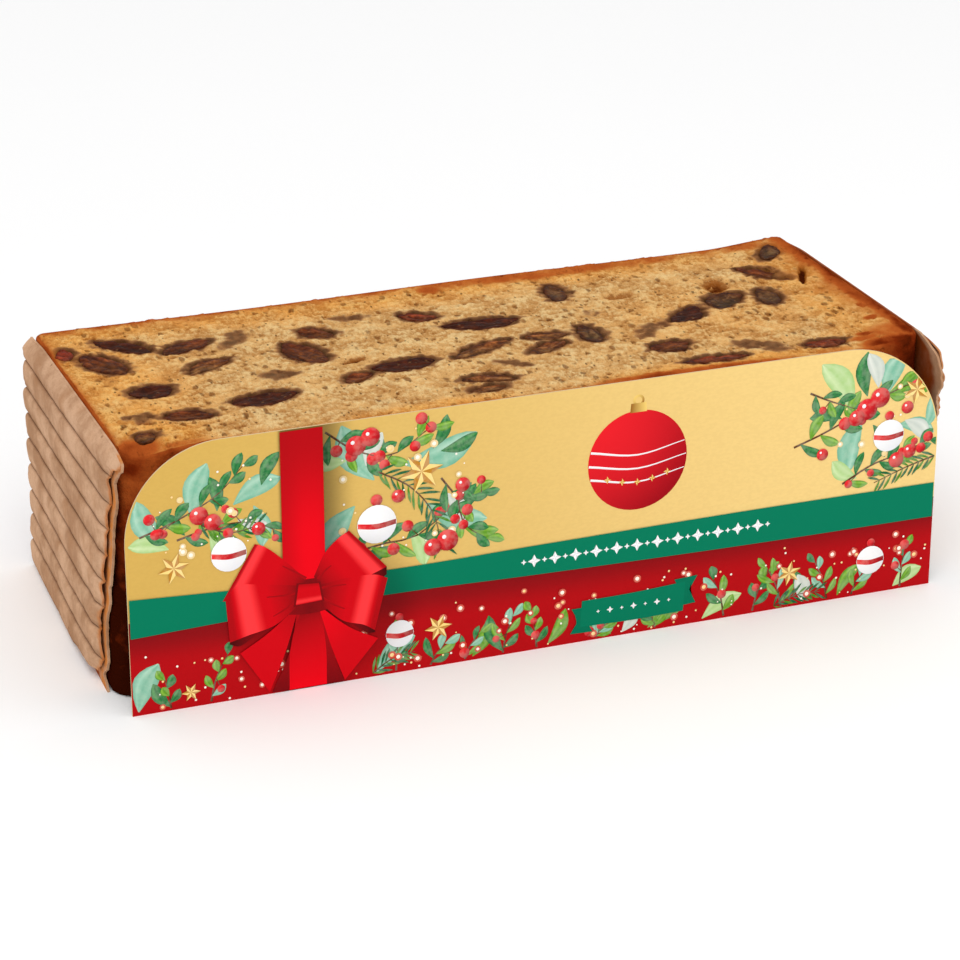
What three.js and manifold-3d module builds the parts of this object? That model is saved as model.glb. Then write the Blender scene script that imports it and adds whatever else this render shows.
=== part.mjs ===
// Raisin loaf cake: a long loaf whose top is cut flat, so that crumb and raisins show,
// between two end walls of corrugated baking paper, with a printed card along its front.
// Millimetres, +Z up. The origin is the middle of the base; the card faces -Y.

import * as THREE from 'three';
import { mergeVertices } from 'three/addons/utils/BufferGeometryUtils.js';
import Module from 'manifold-3d';

const wasm = await Module();
wasm.setup();

// ---------- driving dimensions ----------

const GAP = 0.3; // left between any two pieces that touch
const DEPTH = 95.2; // from the card's face to the back of the cake

const CAKE = {
  left: -104.2, // end face at the top
  right: 106.6,
  front: 9, // front face, behind the card's face
  back: 94.4,
  height: 64,
  endRise: 1.2, // the top climbs a little at the right end
  riseWidth: 24,
  unevenness: 0.3, // of the cut top
  leanFront: 4.2, // the left end spreads this much towards its base, most at the front
  leanBack: 1,
  baseRadius: 1.2,
  frontRadius: 6, // of the upright corners
  backRadius: 3,
  sideBulge: 0.7, // the long sides swell at half height
};

const CARD = { length: 213, height: 68, thickness: 0.5, leftRadius: 24, rightRadius: 26.5 };

const WALL = {
  back: 94.2, // behind the card's face
  leftTop: 64.3,
  rightTop: 64.8,
  thickness: 3, // liner and flutes together
  liner: 0.6,
  sheet: 0.5, // the fluted sheet itself
  valley: 0.5, // how far the fluted sheet stands off the liner between two flutes
  pitch: 7.1, // of the flutes, which run front to back
  pitchSpread: 0.09, // share by which the flutes differ
  crush: 0.35, // how far the crests are pressed out of line
  flare: 1.1, // the left one's upper front corner spreads this much
  flareReach: 16,
};

const RAISIN = {
  depth: 3.2, // below its widest outline, and never more than depthShare of its width
  depthShare: 0.6,
  dome: 0.45, // above its widest outline
  sunk: 0.1, // below the cut top
  blunt: 0.86, // power that squares the ends
  bend: 0.16, // share of the width by which the longest bend
  taper: 0.14, // share by which one end is wider than the other
  uneven: 0.05,
  phaseStep: 1.7, // between one raisin's unevenness and the next one's
};

// Middle (from the card's middle and face), length, width and turn in degrees of each raisin.
const RAISINS = [
  [-100.6, 77, 8.5, 4.4, 85],
  [-85.3, 77.8, 17.5, 6.5, -48],
  [-93, 67, 18, 8.5, -67],
  [-70, 72.3, 15, 7, 22],
  [-57.5, 73, 12, 3.8, 60],
  [-69, 57.3, 15, 6, 33],
  [-86.7, 44.8, 11, 9, 8],
  [-82.8, 26.5, 12, 7, -12],
  [-94, 28.8, 6.5, 4.2, 0],
  [-96, 16.8, 7, 5, 55],
  [-62, 31.3, 17, 8.5, 8],
  [-54.5, 44.7, 8, 5.5, 0],
  [-43.5, 58, 17.5, 9, -72],
  [-36.3, 70.5, 10.5, 6.5, -48],
  [-24.5, 77.7, 8, 3, -8],
  [-8, 72.2, 10.5, 6, -35],
  [-36.4, 36.5, 9.5, 5, 30],
  [-22.6, 40.7, 17, 8.5, 3],
  [-0.8, 43.8, 19.5, 5.5, 25],
  [5.3, 61.3, 20.5, 8, -5],
  [-6.5, 23.9, 13.5, 5.2, -16],
  [-8.8, 18, 10, 4.4, 5],
  [3.2, 30.5, 9, 2.8, -35],
  [17.5, 46.4, 11, 5.5, -5],
  [14.8, 38.6, 13, 5, 27],
  [28.8, 44.2, 13.5, 6, 88],
  [32, 75.8, 13.5, 5.5, 82],
  [34.8, 58, 6, 4, 60],
  [44.5, 28.8, 11, 8, 12],
  [45, 41, 13, 4.5, 36],
  [58, 48.7, 13.5, 7, 40],
  [72, 55.6, 13.5, 9, 45],
  [83.7, 54, 13, 6.2, 82],
  [90.5, 70, 17, 5.5, -58],
  [98.4, 84, 12.5, 5.5, 60],
  [66.3, 20.8, 14, 5.5, -38],
  [52, 16.9, 18, 4.5, -2],
  [82.3, 17.3, 11, 5.5, -8],
];

// Places where the knife tore the crumb: middle, length, width, turn and depth.
const TEARS = [
  [74.6, 67, 9, 6, 70, 1.8],
  [99, 64.6, 12, 1.6, 66, 3],
  [-33.2, 48.4, 6, 3.4, 20, 1.4],
];

// Torn front edges of the paper: distance behind the card's face at each height.
const LEFT_TEAR = [
  [0, 15], [3, 19], [8, 15.5], [14, 17.5], [20, 16], [30, 13], [39, 12.5],
  [46, 10], [52, 8], [56, 10.5], [59.5, 5], [62, 1.2], [64, 0.8],
];
const RIGHT_TEAR = [
  [0, 13], [18, 12], [34, 8], [42, 3.2], [52, 2.4], [57, 0.8], [59.5, 2.4], [62.2, 5], [64.6, 13], [66, 24],
];

// ---------- helpers ----------

/** Turns a depth behind the card's face into a place along Y. */
const fromCard = (depth) => depth - DEPTH / 2;

/** A repeatable wave of height 1 from two places and a phase. */
const ripple = (a, b, phase) => 0.6 * Math.sin(a + phase) + 0.4 * Math.sin(b + 2.3 * phase + 1);

/** How far the left end stands out below the top. */
function leanAt(y, z) {
  const behind = THREE.MathUtils.clamp((y + DEPTH / 2) / DEPTH, 0, 1);
  return THREE.MathUtils.lerp(CAKE.leanFront, CAKE.leanBack, behind) * (1 - Math.min(z / CAKE.height, 1));
}

/** Height of the cut top at a place. */
function topAt(x, y) {
  const along = THREE.MathUtils.smoothstep(x, CAKE.right - CAKE.riseWidth, CAKE.right);
  return CAKE.height + CAKE.endRise * along + CAKE.unevenness * ripple(x / 19, y / 13, 0.7);
}

function toSolid(geometry) {
  const bare = geometry.clone();
  bare.deleteAttribute('normal');
  bare.deleteAttribute('uv');
  const merged = mergeVertices(bare, 1e-4);
  return new wasm.Manifold(new wasm.Mesh({
    numProp: 3,
    vertProperties: new Float32Array(merged.attributes.position.array),
    triVerts: new Uint32Array(merged.index.array),
  }));
}

function toGeometry(solid) {
  const { vertProperties, triVerts, numProp } = solid.getMesh();
  const positions = new Float32Array((vertProperties.length / numProp) * 3);
  for (let i = 0; i < positions.length / 3; i += 1) {
    for (let k = 0; k < 3; k += 1) positions[3 * i + k] = vertProperties[numProp * i + k];
  }
  const geometry = new THREE.BufferGeometry();
  geometry.setAttribute('position', new THREE.BufferAttribute(positions, 3));
  geometry.setIndex(new THREE.BufferAttribute(new Uint32Array(triVerts), 1));
  geometry.computeVertexNormals();
  return geometry;
}

/** Moves every vertex of a geometry by move(vertex). */
function warp(geometry, move) {
  const place = geometry.attributes.position;
  const vertex = new THREE.Vector3();
  for (let i = 0; i < place.count; i += 1) {
    move(vertex.fromBufferAttribute(place, i));
    place.setXYZ(i, vertex.x, vertex.y, vertex.z);
  }
  return geometry;
}

/** Mirrors an indexed geometry in x and keeps its faces pointing out. */
function mirrored(geometry) {
  const { array } = geometry.index;
  for (let i = 0; i < array.length; i += 3) [array[i + 1], array[i + 2]] = [array[i + 2], array[i + 1]];
  geometry.scale(-1, 1, 1);
  geometry.computeVertexNormals();
  return geometry;
}

/** Closed solid through rings of equally many points, with a fan at each end. */
function loft(rings) {
  const count = rings[0].length;
  const points = [];
  const faces = [];
  for (const ring of rings) points.push(...ring);
  for (let r = 0; r + 1 < rings.length; r += 1) {
    for (let i = 0; i < count; i += 1) {
      const [a, b] = [r * count + i, r * count + ((i + 1) % count)];
      faces.push(a, b, a + count, b, b + count, a + count);
    }
  }
  const middleOf = (ring) => ring.reduce((sum, p) => sum.add(p), new THREE.Vector3()).divideScalar(count);
  const last = (rings.length - 1) * count;
  const base = points.push(middleOf(rings[0])) - 1;
  const crown = points.push(middleOf(rings.at(-1))) - 1;
  for (let i = 0; i < count; i += 1) {
    const next = (i + 1) % count;
    faces.push(base, next, i, crown, last + i, last + next);
  }
  const geometry = new THREE.BufferGeometry().setFromPoints(points);
  geometry.setIndex(faces);
  return geometry;
}

// ---------- cake ----------

const CORNER_STEPS = 4;
const LONG_STEPS = 12;
const SHORT_STEPS = 5;

/** One level of the loaf: a rounded rectangle drawn in by inset, at height(x, y). */
function cakeRing(inset, height) {
  const left = CAKE.left + inset;
  const right = CAKE.right - inset;
  const front = fromCard(CAKE.front) + inset;
  const back = fromCard(CAKE.back) - inset;
  const frontRadius = Math.max(CAKE.frontRadius - inset, 1);
  const backRadius = Math.max(CAKE.backRadius - inset, 1);
  const corners = [
    [right - frontRadius, front + frontRadius, frontRadius, -90],
    [right - backRadius, back - backRadius, backRadius, 0],
    [left + backRadius, back - backRadius, backRadius, 90],
    [left + frontRadius, front + frontRadius, frontRadius, 180],
  ];
  const onArc = ([cx, cy, radius, start], turn) => {
    const angle = THREE.MathUtils.degToRad(start + turn);
    return [cx + radius * Math.cos(angle), cy + radius * Math.sin(angle)];
  };
  const ring = [];
  corners.forEach((corner, index) => {
    for (let i = 0; i <= CORNER_STEPS; i += 1) ring.push(onArc(corner, (90 * i) / CORNER_STEPS));
    const steps = index % 2 ? LONG_STEPS : SHORT_STEPS;
    const [fromX, fromY] = ring.at(-1);
    const [toX, toY] = onArc(corners[(index + 1) % 4], 0);
    for (let i = 1; i < steps; i += 1) {
      const t = i / steps;
      ring.push([fromX + (toX - fromX) * t, fromY + (toY - fromY) * t]);
    }
  });
  return ring.map(([x, y]) => new THREE.Vector3(x, y, height(x, y)));
}

function cakeBody() {
  const flat = (z) => () => z;
  const underTop = (drop) => (x, y) => topAt(x, y) - drop;
  const rings = [
    cakeRing(CAKE.baseRadius, flat(0)),
    cakeRing(CAKE.baseRadius * 0.3, flat(CAKE.baseRadius * 0.3)),
    ...[CAKE.baseRadius, 14, 28, 42, 54].map((z) => cakeRing(0, flat(z))),
    cakeRing(0, underTop(1.6)),
    cakeRing(0.4, underTop(0.5)),
    cakeRing(1.5, underTop(0)),
    ...[10, 22, 34, 41].map((inset) => cakeRing(inset, underTop(0))),
  ];
  const middleY = fromCard((CAKE.front + CAKE.back) / 2);
  const reach = (CAKE.back - CAKE.front) / 2 - CAKE.frontRadius;
  return warp(loft(rings), (p) => {
    const swell = Math.sin(Math.PI * THREE.MathUtils.clamp(p.z / CAKE.height, 0, 1));
    const side = Math.sign(p.y - middleY) * Math.max(Math.abs(p.y - middleY) - reach, 0) / CAKE.frontRadius;
    const ends = 1 - Math.abs(p.x / CAKE.right) ** 4;
    p.y += CAKE.sideBulge * swell * side * ends * (0.7 + 0.3 * Math.sin(p.x / 17));
    p.x -= leanAt(p.y, p.z) * ((CAKE.right - p.x) / (CAKE.right - CAKE.left));
  });
}

// ---------- raisins ----------

const AROUND_STEPS = 6;
const ALONG_STEPS = 8;
const BEND_CENTRE = 0.4; // keeps a bent oval's middle on its place

/** A blunt, slightly bent oval lying along X, with its widest outline at z = 0. */
function ovalBody(length, width, dome, depth, bend, phase) {
  const geometry = new THREE.SphereGeometry(1, AROUND_STEPS, ALONG_STEPS);
  geometry.rotateZ(-Math.PI / 2);
  return warp(geometry, (p) => {
    const angle = Math.atan2(p.y, p.x);
    const lump = 1 + RAISIN.uneven * ripple(3 * angle, 5 * angle, phase);
    const x = Math.sign(p.x) * Math.abs(p.x) ** RAISIN.blunt * lump;
    const y = p.y * lump * (1 + RAISIN.taper * x * Math.sin(phase));
    const arc = bend * width * (x * x - BEND_CENTRE);
    p.set((x * length) / 2, (y * width) / 2 + arc, p.z * (p.z > 0 ? dome : depth));
  });
}

/** Puts an oval at its place on the cut top, turned by turn degrees. */
function onTop(geometry, x, y, turn, lift) {
  geometry.rotateZ(THREE.MathUtils.degToRad(turn));
  geometry.translate(x, fromCard(y), topAt(x, fromCard(y)) + lift);
  return geometry;
}

function raisinBody([x, y, length, width, turn], index, clearance = 0) {
  const phase = index * RAISIN.phaseStep;
  const bend = RAISIN.bend * Math.sin(2 * phase);
  const depth = Math.min(RAISIN.depth, width * RAISIN.depthShare);
  const dome = RAISIN.dome + (clearance ? RAISIN.depth : 0);
  const [long, wide] = [length + 2 * clearance, width + 2 * clearance];
  const body = ovalBody(long, wide, dome, depth + clearance, bend, phase);
  return onTop(body, x, y, turn, -RAISIN.sunk);
}

function tearBody([x, y, length, width, turn, depth], index) {
  const [mouth, lift] = [2, 0.2];
  return onTop(ovalBody(length, width, mouth, depth, 0, index), x, y, turn, lift);
}

function cakeSolid() {
  const hollows = [
    ...RAISINS.map((raisin, index) => toSolid(raisinBody(raisin, index, GAP))),
    ...TEARS.map((tear, index) => toSolid(tearBody(tear, index))),
  ];
  return hollows.reduce((cake, hollow) => cake.subtract(hollow), toSolid(cakeBody()));
}

// ---------- paper end walls ----------

/** Heights between which the flutes lie, from the floor up to top. */
function fluteEdges(top, phase) {
  const count = Math.round(top / WALL.pitch);
  const shareOf = (i) => 1 + WALL.pitchSpread * ripple(2.1 * i, 3.7 * i, phase);
  const widths = Array.from({ length: count }, (_, i) => shareOf(i));
  const total = widths.reduce((sum, width) => sum + width, 0);
  const edges = [0];
  for (const width of widths) edges.push(edges.at(-1) + (width / total) * top);
  return edges;
}

const ARCH_STEPS = 5;
const WALL_STEPS = 4; // along its length

/** Points of one flute's arch from height z0 to z1, drawn in by the thickness inset. */
function arch(z0, z1, inset) {
  const foot = inset ? WALL.liner : WALL.valley + WALL.liner;
  const crest = WALL.thickness - inset;
  const points = [];
  for (let i = 0; i <= ARCH_STEPS; i += 1) {
    const t = -Math.cos((Math.PI * i) / ARCH_STEPS);
    const rise = Math.sqrt(Math.max(1 - Math.abs(t) ** 2.4, 0));
    points.push([foot + (crest - foot) * rise, (z0 + z1) / 2 + t * ((z1 - z0) / 2 - inset)]);
  }
  return points;
}

/** A corrugated wall whose liner lies on x = 0 and whose flutes stand out along +X. */
function wallSheet(top, flare, phase) {
  const edges = fluteEdges(top, phase);
  const shape = new THREE.Shape();
  shape.moveTo(0, 0);
  for (let i = 0; i + 1 < edges.length; i += 1) {
    for (const [u, z] of arch(edges[i], edges[i + 1], 0)) shape.lineTo(u, z);
  }
  shape.lineTo(0, top);
  shape.closePath();
  for (let i = 0; i + 1 < edges.length; i += 1) {
    const cell = new THREE.Path();
    cell.setFromPoints(arch(edges[i], edges[i + 1], WALL.sheet).map(([u, z]) => new THREE.Vector2(u, z)));
    cell.closePath();
    shape.holes.push(cell);
  }
  const options = { depth: WALL.back, steps: WALL_STEPS, bevelEnabled: false };
  const sheet = new THREE.ExtrudeGeometry(shape, options);
  sheet.rotateX(Math.PI / 2);
  sheet.translate(0, fromCard(WALL.back), 0);
  return warp(sheet, (p) => {
    const out = p.x / WALL.thickness;
    const high = THREE.MathUtils.smoothstep(p.z, top / 2, top);
    const near = THREE.MathUtils.clamp((fromCard(WALL.flareReach) - p.y) / WALL.flareReach, 0, 1);
    p.x += WALL.crush * out * ripple(p.z / 9 + p.y / 21, p.y / 15, phase) + flare * high * near ** 2;
    p.z += WALL.crush * out * Math.min(p.z / WALL.pitch, 1) * ripple(p.y / 18, p.z / 6, phase + 2);
  });
}

/** Cuts everything in front of a torn edge, given as [height, depth] points. */
function tearCutter(edge) {
  const reach = WALL.thickness * 4;
  const [front, low, high] = [-DEPTH, -CAKE.height, 2 * CAKE.height];
  const line = edge.map(([z, depth]) => new THREE.Vector2(fromCard(depth), z));
  const foot = [new THREE.Vector2(front, low), new THREE.Vector2(line[0].x, low)];
  const head = [new THREE.Vector2(line.at(-1).x, high), new THREE.Vector2(front, high)];
  const shape = new THREE.Shape([...foot, ...line, ...head]);
  const cutter = new THREE.ExtrudeGeometry(shape, { depth: 2 * reach, bevelEnabled: false });
  cutter.applyMatrix4(new THREE.Matrix4().makeBasis(
    new THREE.Vector3(0, 1, 0), new THREE.Vector3(0, 0, 1), new THREE.Vector3(1, 0, 0)));
  return cutter.translate(-reach, 0, 0);
}

/** The lower lip of the lowest flute is torn off along its front part. */
function lipCutter() {
  const [length, height] = [39, 2.4];
  const lip = new THREE.BoxGeometry(WALL.thickness * 2, length, 2 * height);
  return lip.translate(WALL.thickness + WALL.liner + WALL.valley, fromCard(length / 2), 0);
}

function leftWall() {
  const whole = toSolid(wallSheet(WALL.leftTop, WALL.flare, 0.4));
  const upright = whole.subtract(toSolid(tearCutter(LEFT_TEAR))).subtract(toSolid(lipCutter()));
  return mirrored(warp(toGeometry(upright), (p) => {
    p.x += leanAt(p.y, p.z) - CAKE.left + GAP;
  }));
}

function rightWall() {
  const whole = toSolid(wallSheet(WALL.rightTop, 0, 2.9));
  const upright = whole.subtract(toSolid(tearCutter(RIGHT_TEAR)));
  return toGeometry(upright).translate(CAKE.right + GAP, 0, 0);
}

// ---------- card ----------

/** Upright card with large round upper corners and square lower ones. */
function cardSheet() {
  const half = CARD.length / 2;
  const { height, leftRadius, rightRadius } = CARD;
  const shape = new THREE.Shape();
  shape.moveTo(-half, 0);
  shape.lineTo(half, 0);
  shape.absarc(half - rightRadius, height - rightRadius, rightRadius, 0, Math.PI / 2);
  shape.absarc(-half + leftRadius, height - leftRadius, leftRadius, Math.PI / 2, Math.PI);
  shape.closePath();
  const options = { depth: CARD.thickness, bevelEnabled: false, curveSegments: 10 };
  const sheet = new THREE.ExtrudeGeometry(shape, options);
  sheet.rotateX(Math.PI / 2);
  return sheet.translate(0, fromCard(CARD.thickness), 0);
}

// ---------- assembly ----------

const FINISH = {
  crumb: { color: 0xcfa069, roughness: 0.9, metalness: 0 },
  raisin: { color: 0x3c2a24, roughness: 0.55, metalness: 0 },
  paper: { color: 0xc8a27c, roughness: 0.85, metalness: 0 },
  card: { color: 0xe0bd66, roughness: 0.4, metalness: 0 },
};

function piece(name, geometry, finish) {
  const mesh = new THREE.Mesh(geometry, new THREE.MeshStandardMaterial(finish));
  mesh.name = name;
  return mesh;
}

const loaf = new THREE.Group();
loaf.add(piece('cake', toGeometry(cakeSolid()), FINISH.crumb));
RAISINS.forEach((raisin, index) => {
  const name = `raisin_${String(index + 1).padStart(2, '0')}`;
  loaf.add(piece(name, toGeometry(toSolid(raisinBody(raisin, index))), FINISH.raisin));
});
loaf.add(piece('paper_end_left', leftWall(), FINISH.paper));
loaf.add(piece('paper_end_right', rightWall(), FINISH.paper));
loaf.add(piece('card_front', cardSheet(), FINISH.card));

export default loaf;
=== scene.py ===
"""Looks of a raisin loaf cake that stands between corrugated paper ends, behind a printed card."""

import logging
import math
import random
from collections.abc import Callable, Sequence
from dataclasses import dataclass, field
from enum import Enum

import bpy
import numpy as np
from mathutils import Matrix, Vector, noise
from mathutils.bvhtree import BVHTree
from mathutils.kdtree import KDTree


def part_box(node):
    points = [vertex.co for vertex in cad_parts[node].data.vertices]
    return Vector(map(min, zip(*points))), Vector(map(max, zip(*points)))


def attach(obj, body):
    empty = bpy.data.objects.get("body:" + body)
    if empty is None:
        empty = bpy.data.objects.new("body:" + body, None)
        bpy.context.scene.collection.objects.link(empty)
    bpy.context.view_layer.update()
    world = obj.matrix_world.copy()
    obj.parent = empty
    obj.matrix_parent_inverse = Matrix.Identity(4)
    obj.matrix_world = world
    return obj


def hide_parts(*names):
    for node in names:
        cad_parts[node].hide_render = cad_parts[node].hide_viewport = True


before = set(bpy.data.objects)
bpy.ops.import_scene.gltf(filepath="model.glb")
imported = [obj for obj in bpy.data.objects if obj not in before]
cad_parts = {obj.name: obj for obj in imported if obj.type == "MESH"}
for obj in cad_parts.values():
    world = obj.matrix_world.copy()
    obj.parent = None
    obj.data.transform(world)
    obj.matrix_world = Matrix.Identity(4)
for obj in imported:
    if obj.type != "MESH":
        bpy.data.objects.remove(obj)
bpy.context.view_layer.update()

LOG = logging.getLogger("raisin_loaf")
MM = 0.001
BODY = "root"
CARD_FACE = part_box("card_front")[0].y / MM  # Y of the card's printed face
UP = Vector((0, 0, 1))

Piece = bpy.types.Object
Material = bpy.types.Material
Socket = bpy.types.NodeSocket
Colour = tuple[float, float, float]
Triple = tuple[float, float, float]  # a place or sizes along x, y and z
Value = float | Colour | Socket
Shade = Callable[[np.ndarray, np.ndarray], np.ndarray]  # a colour for each place along and across


class Slot(Enum):
    """Names of four material slots."""

    CRUMB = "crumb"
    RAISIN = "raisin"
    PAPER = "baking_paper"
    CARD = "printed_card"


def rgb(red: float, green: float, blue: float) -> Colour:
    """Linear colour of a screen colour from 0 to 255.

    Args:
        red: Red from 0 to 255.
        green: Green.
        blue: Blue.

    Returns:
        The three linear parts.
    """
    return tuple(
        s / 12.92 if s <= 0.04045 else ((s + 0.055) / 1.055) ** 2.4
        for s in (red / 255, green / 255, blue / 255)
    )


def smooth(low: float, high: float, value: np.ndarray) -> np.ndarray:
    """Smooth step from 0 at low to 1 at high; low may be above high."""
    t = np.clip((value - low) / (high - low), 0, 1)
    return t * t * (3 - 2 * t)


def behind(y: np.ndarray) -> np.ndarray:
    """Distance behind the card's face."""
    return y - CARD_FACE


def ripple(a: np.ndarray, b: np.ndarray, phase: float) -> np.ndarray:
    """A repeatable wave of height 1 from two places and a phase."""
    return 0.6 * np.sin(a + phase) + 0.4 * np.sin(b + 2.3 * phase + 1)


def cloud(points: np.ndarray, size: float | Sequence[float], shift: float = 0.0) -> np.ndarray:
    """Smooth noise, from about -1 to 1.

    Args:
        points: Places, in mm, one in each row.
        size: Size of the noise's lumps in mm, one number or one for each axis.
        shift: Moves the pattern, so that two uses differ.

    Returns:
        One value for each place.
    """
    scaled = (points / np.asarray(size, float) + shift).tolist()
    return np.array([noise.noise(p) for p in scaled])


def on_line(values: np.ndarray) -> np.ndarray:
    """Places on one line, for a noise that follows one number."""
    return np.column_stack([values, 0 * values, 0 * values])


# ---------- mesh tools ----------


def clear_selection() -> None:
    """Deselects everything, because the CAD nodes and each new primitive start out selected."""
    if bpy.context.object and bpy.context.object.mode != "OBJECT":
        bpy.ops.object.mode_set(mode="OBJECT")
    bpy.ops.object.select_all(action="DESELECT")


def choose(*pieces: Piece) -> None:
    """Selects only these pieces and makes the first one active.

    Args:
        pieces: The pieces, the active one first.
    """
    clear_selection()
    for piece in pieces:
        piece.select_set(True)
    bpy.context.view_layer.objects.active = pieces[0]


def points_of(piece: Piece) -> np.ndarray:
    """The vertices of a piece, in mm.

    Args:
        piece: The piece.

    Returns:
        One place in each row.
    """
    places = np.empty(len(piece.data.vertices) * 3)
    piece.data.vertices.foreach_get("co", places)
    return places.reshape(-1, 3) / MM


def set_points(piece: Piece, points: np.ndarray) -> None:
    """Moves the vertices of a piece to points in mm."""
    piece.data.vertices.foreach_set("co", (points * MM).ravel())
    piece.data.update()


def normals_of(piece: Piece) -> np.ndarray:
    """The vertex normals of a piece.

    Args:
        piece: The piece.

    Returns:
        One direction in each row.
    """
    normals = np.empty(len(piece.data.vertices) * 3, np.float32)
    piece.data.vertex_normals.foreach_get("vector", normals)
    return normals.reshape(-1, 3).astype(float)


MERGE = 1e-6  # points nearer than this, in metres, are one


def grid(name: str, columns: int, rows: int) -> tuple[Piece, np.ndarray, np.ndarray]:
    """A flat grid to be shaped, with the two places from 0 to 1 of each of its vertices.

    Args:
        name: The piece's name.
        columns: Faces along the first place.
        rows: Faces along the second.

    Returns:
        The grid, and the first and second place of each vertex.
    """
    clear_selection()
    bpy.ops.mesh.primitive_grid_add(x_subdivisions=columns, y_subdivisions=rows, size=1)
    piece = bpy.context.object
    piece.name = piece.data.name = name
    flat = points_of(piece) * MM + 0.5
    return piece, flat[:, 0], flat[:, 1]


def apply_modifiers(piece: Piece) -> None:
    """Applies a piece's modifiers in their order.

    Args:
        piece: The piece.
    """
    choose(piece)
    for modifier in list(piece.modifiers):
        bpy.ops.object.modifier_apply(modifier=modifier.name)


def solidify(piece: Piece, thickness: float, offset: float) -> None:
    """Gives an open sheet its thickness in mm.

    Args:
        piece: The sheet.
        thickness: Thickness in mm.
        offset: Side it grows to, from -1 to 1.
    """
    wall = piece.modifiers.new("thickness", "SOLIDIFY")
    wall.thickness = thickness * MM
    wall.offset = offset
    apply_modifiers(piece)


def join(pieces: Sequence[Piece], name: str) -> Piece:
    """Joins pieces to one piece of that name.

    Args:
        pieces: The pieces.
        name: The whole's name.

    Returns:
        The whole.
    """
    choose(*pieces)
    if len(pieces) > 1:
        bpy.ops.object.join()
    piece = bpy.context.object
    piece.name = piece.data.name = name
    return piece


def face_out(piece: Piece) -> None:
    """Turns a closed piece's faces outwards.

    Args:
        piece: The closed piece.
    """
    choose(piece)
    bpy.ops.object.mode_set(mode="EDIT")
    bpy.ops.mesh.select_all(action="SELECT")
    bpy.ops.mesh.normals_make_consistent(inside=False)
    bpy.ops.object.mode_set(mode="OBJECT")


def shade_smooth(piece: Piece, angle: float) -> None:
    """Shades a piece smooth up to an angle in degrees between its faces."""
    choose(piece)
    bpy.ops.object.shade_smooth_by_angle(angle=math.radians(angle))


def write_mask(piece: Piece, name: str, values: np.ndarray) -> None:
    """Keeps one number from 0 to 1 for each vertex, for the piece's material."""
    mask = piece.data.attributes.new(name, "FLOAT", "POINT")
    mask.data.foreach_set("value", np.clip(values, 0, 1).astype(np.float32))


def write_colours(piece: Piece, name: str, colours: np.ndarray) -> None:
    """Keeps a linear colour for each vertex, for the piece's material.

    Args:
        piece: The piece.
        name: The attribute's name.
        colours: One colour for each vertex.
    """
    shades = np.ones((len(piece.data.vertices), 4), np.float32)
    shades[:, :3] = colours
    loops = np.empty(len(piece.data.loops), np.int32)
    piece.data.loops.foreach_get("vertex_index", loops)
    layer = piece.data.attributes.new(name, "FLOAT_COLOR", "CORNER")
    layer.data.foreach_set("color", shades[loops].ravel())


def write_face_colours(piece: Piece, name: str, colours: np.ndarray) -> None:
    """Keeps a linear colour for each face, for the piece's material.

    Args:
        piece: The piece.
        name: The attribute's name.
        colours: One colour for each face.
    """
    layer = piece.data.attributes.new(name, "FLOAT_COLOR", "CORNER")
    for face, colour in zip(piece.data.polygons, colours):
        for loop in face.loop_indices:
            layer.data[loop].color = (*colour, 1)


def weigh(piece: Piece, name: str, weights: np.ndarray) -> None:
    """Makes a vertex group with one weight for each vertex.

    Args:
        piece: The piece.
        name: The group's name.
        weights: One weight from 0 to 1 for each vertex.
    """
    group = piece.vertex_groups.new(name=name)
    for index in np.flatnonzero(weights > 0).tolist():
        group.add([index], float(weights[index]), "REPLACE")


def displace(
    piece: Piece, kind: str, size: float, strength: float, group: str, middle: float = 0.5,
    stops: Sequence[tuple[float, float]] = (),
) -> None:
    """Adds a Displace modifier that moves a group's points along their normals by a texture.

    Args:
        piece: The piece, whose vertex group is group.
        kind: Blender's kind of texture, such as CLOUDS.
        size: Size of the texture's lumps in mm.
        strength: The move in mm at full texture.
        group: The vertex group that weighs the move.
        middle: The texture's value that moves nothing.
        stops: Places and grey values of a ramp on the texture, if any.
    """
    texture = bpy.data.textures.new(f"{piece.name}_{kind.lower()}_{size:g}", kind)
    texture.noise_scale = size * MM
    if stops:
        texture.use_color_ramp = True
        ramp = texture.color_ramp
        while len(ramp.elements) < len(stops):
            ramp.elements.new(0.5)
        for element, (place, value) in zip(ramp.elements, stops):
            element.position = place
            element.color = (value, value, value, 1)
    modifier = piece.modifiers.new(texture.name, "DISPLACE")
    modifier.texture = texture
    modifier.texture_coords = "LOCAL"
    modifier.strength = strength * MM
    modifier.mid_level = middle
    modifier.vertex_group = group


def dress(
    piece: Piece, material: Material, stands_for: Sequence[str] = (),
) -> Piece:
    """Gives a finished piece its material and its body, and hides the CAD nodes it stands for.

    Args:
        piece: The piece.
        material: Its material.
        stands_for: Names of the CAD nodes it replaces.

    Returns:
        The piece.
    """
    piece.data.materials.clear()
    piece.data.materials.append(material)
    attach(piece, BODY)
    if stands_for:
        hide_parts(*stands_for)
    LOG.info("%s: %d faces", piece.name, len(piece.data.polygons))
    return piece


# ---------- shader tools ----------


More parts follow.
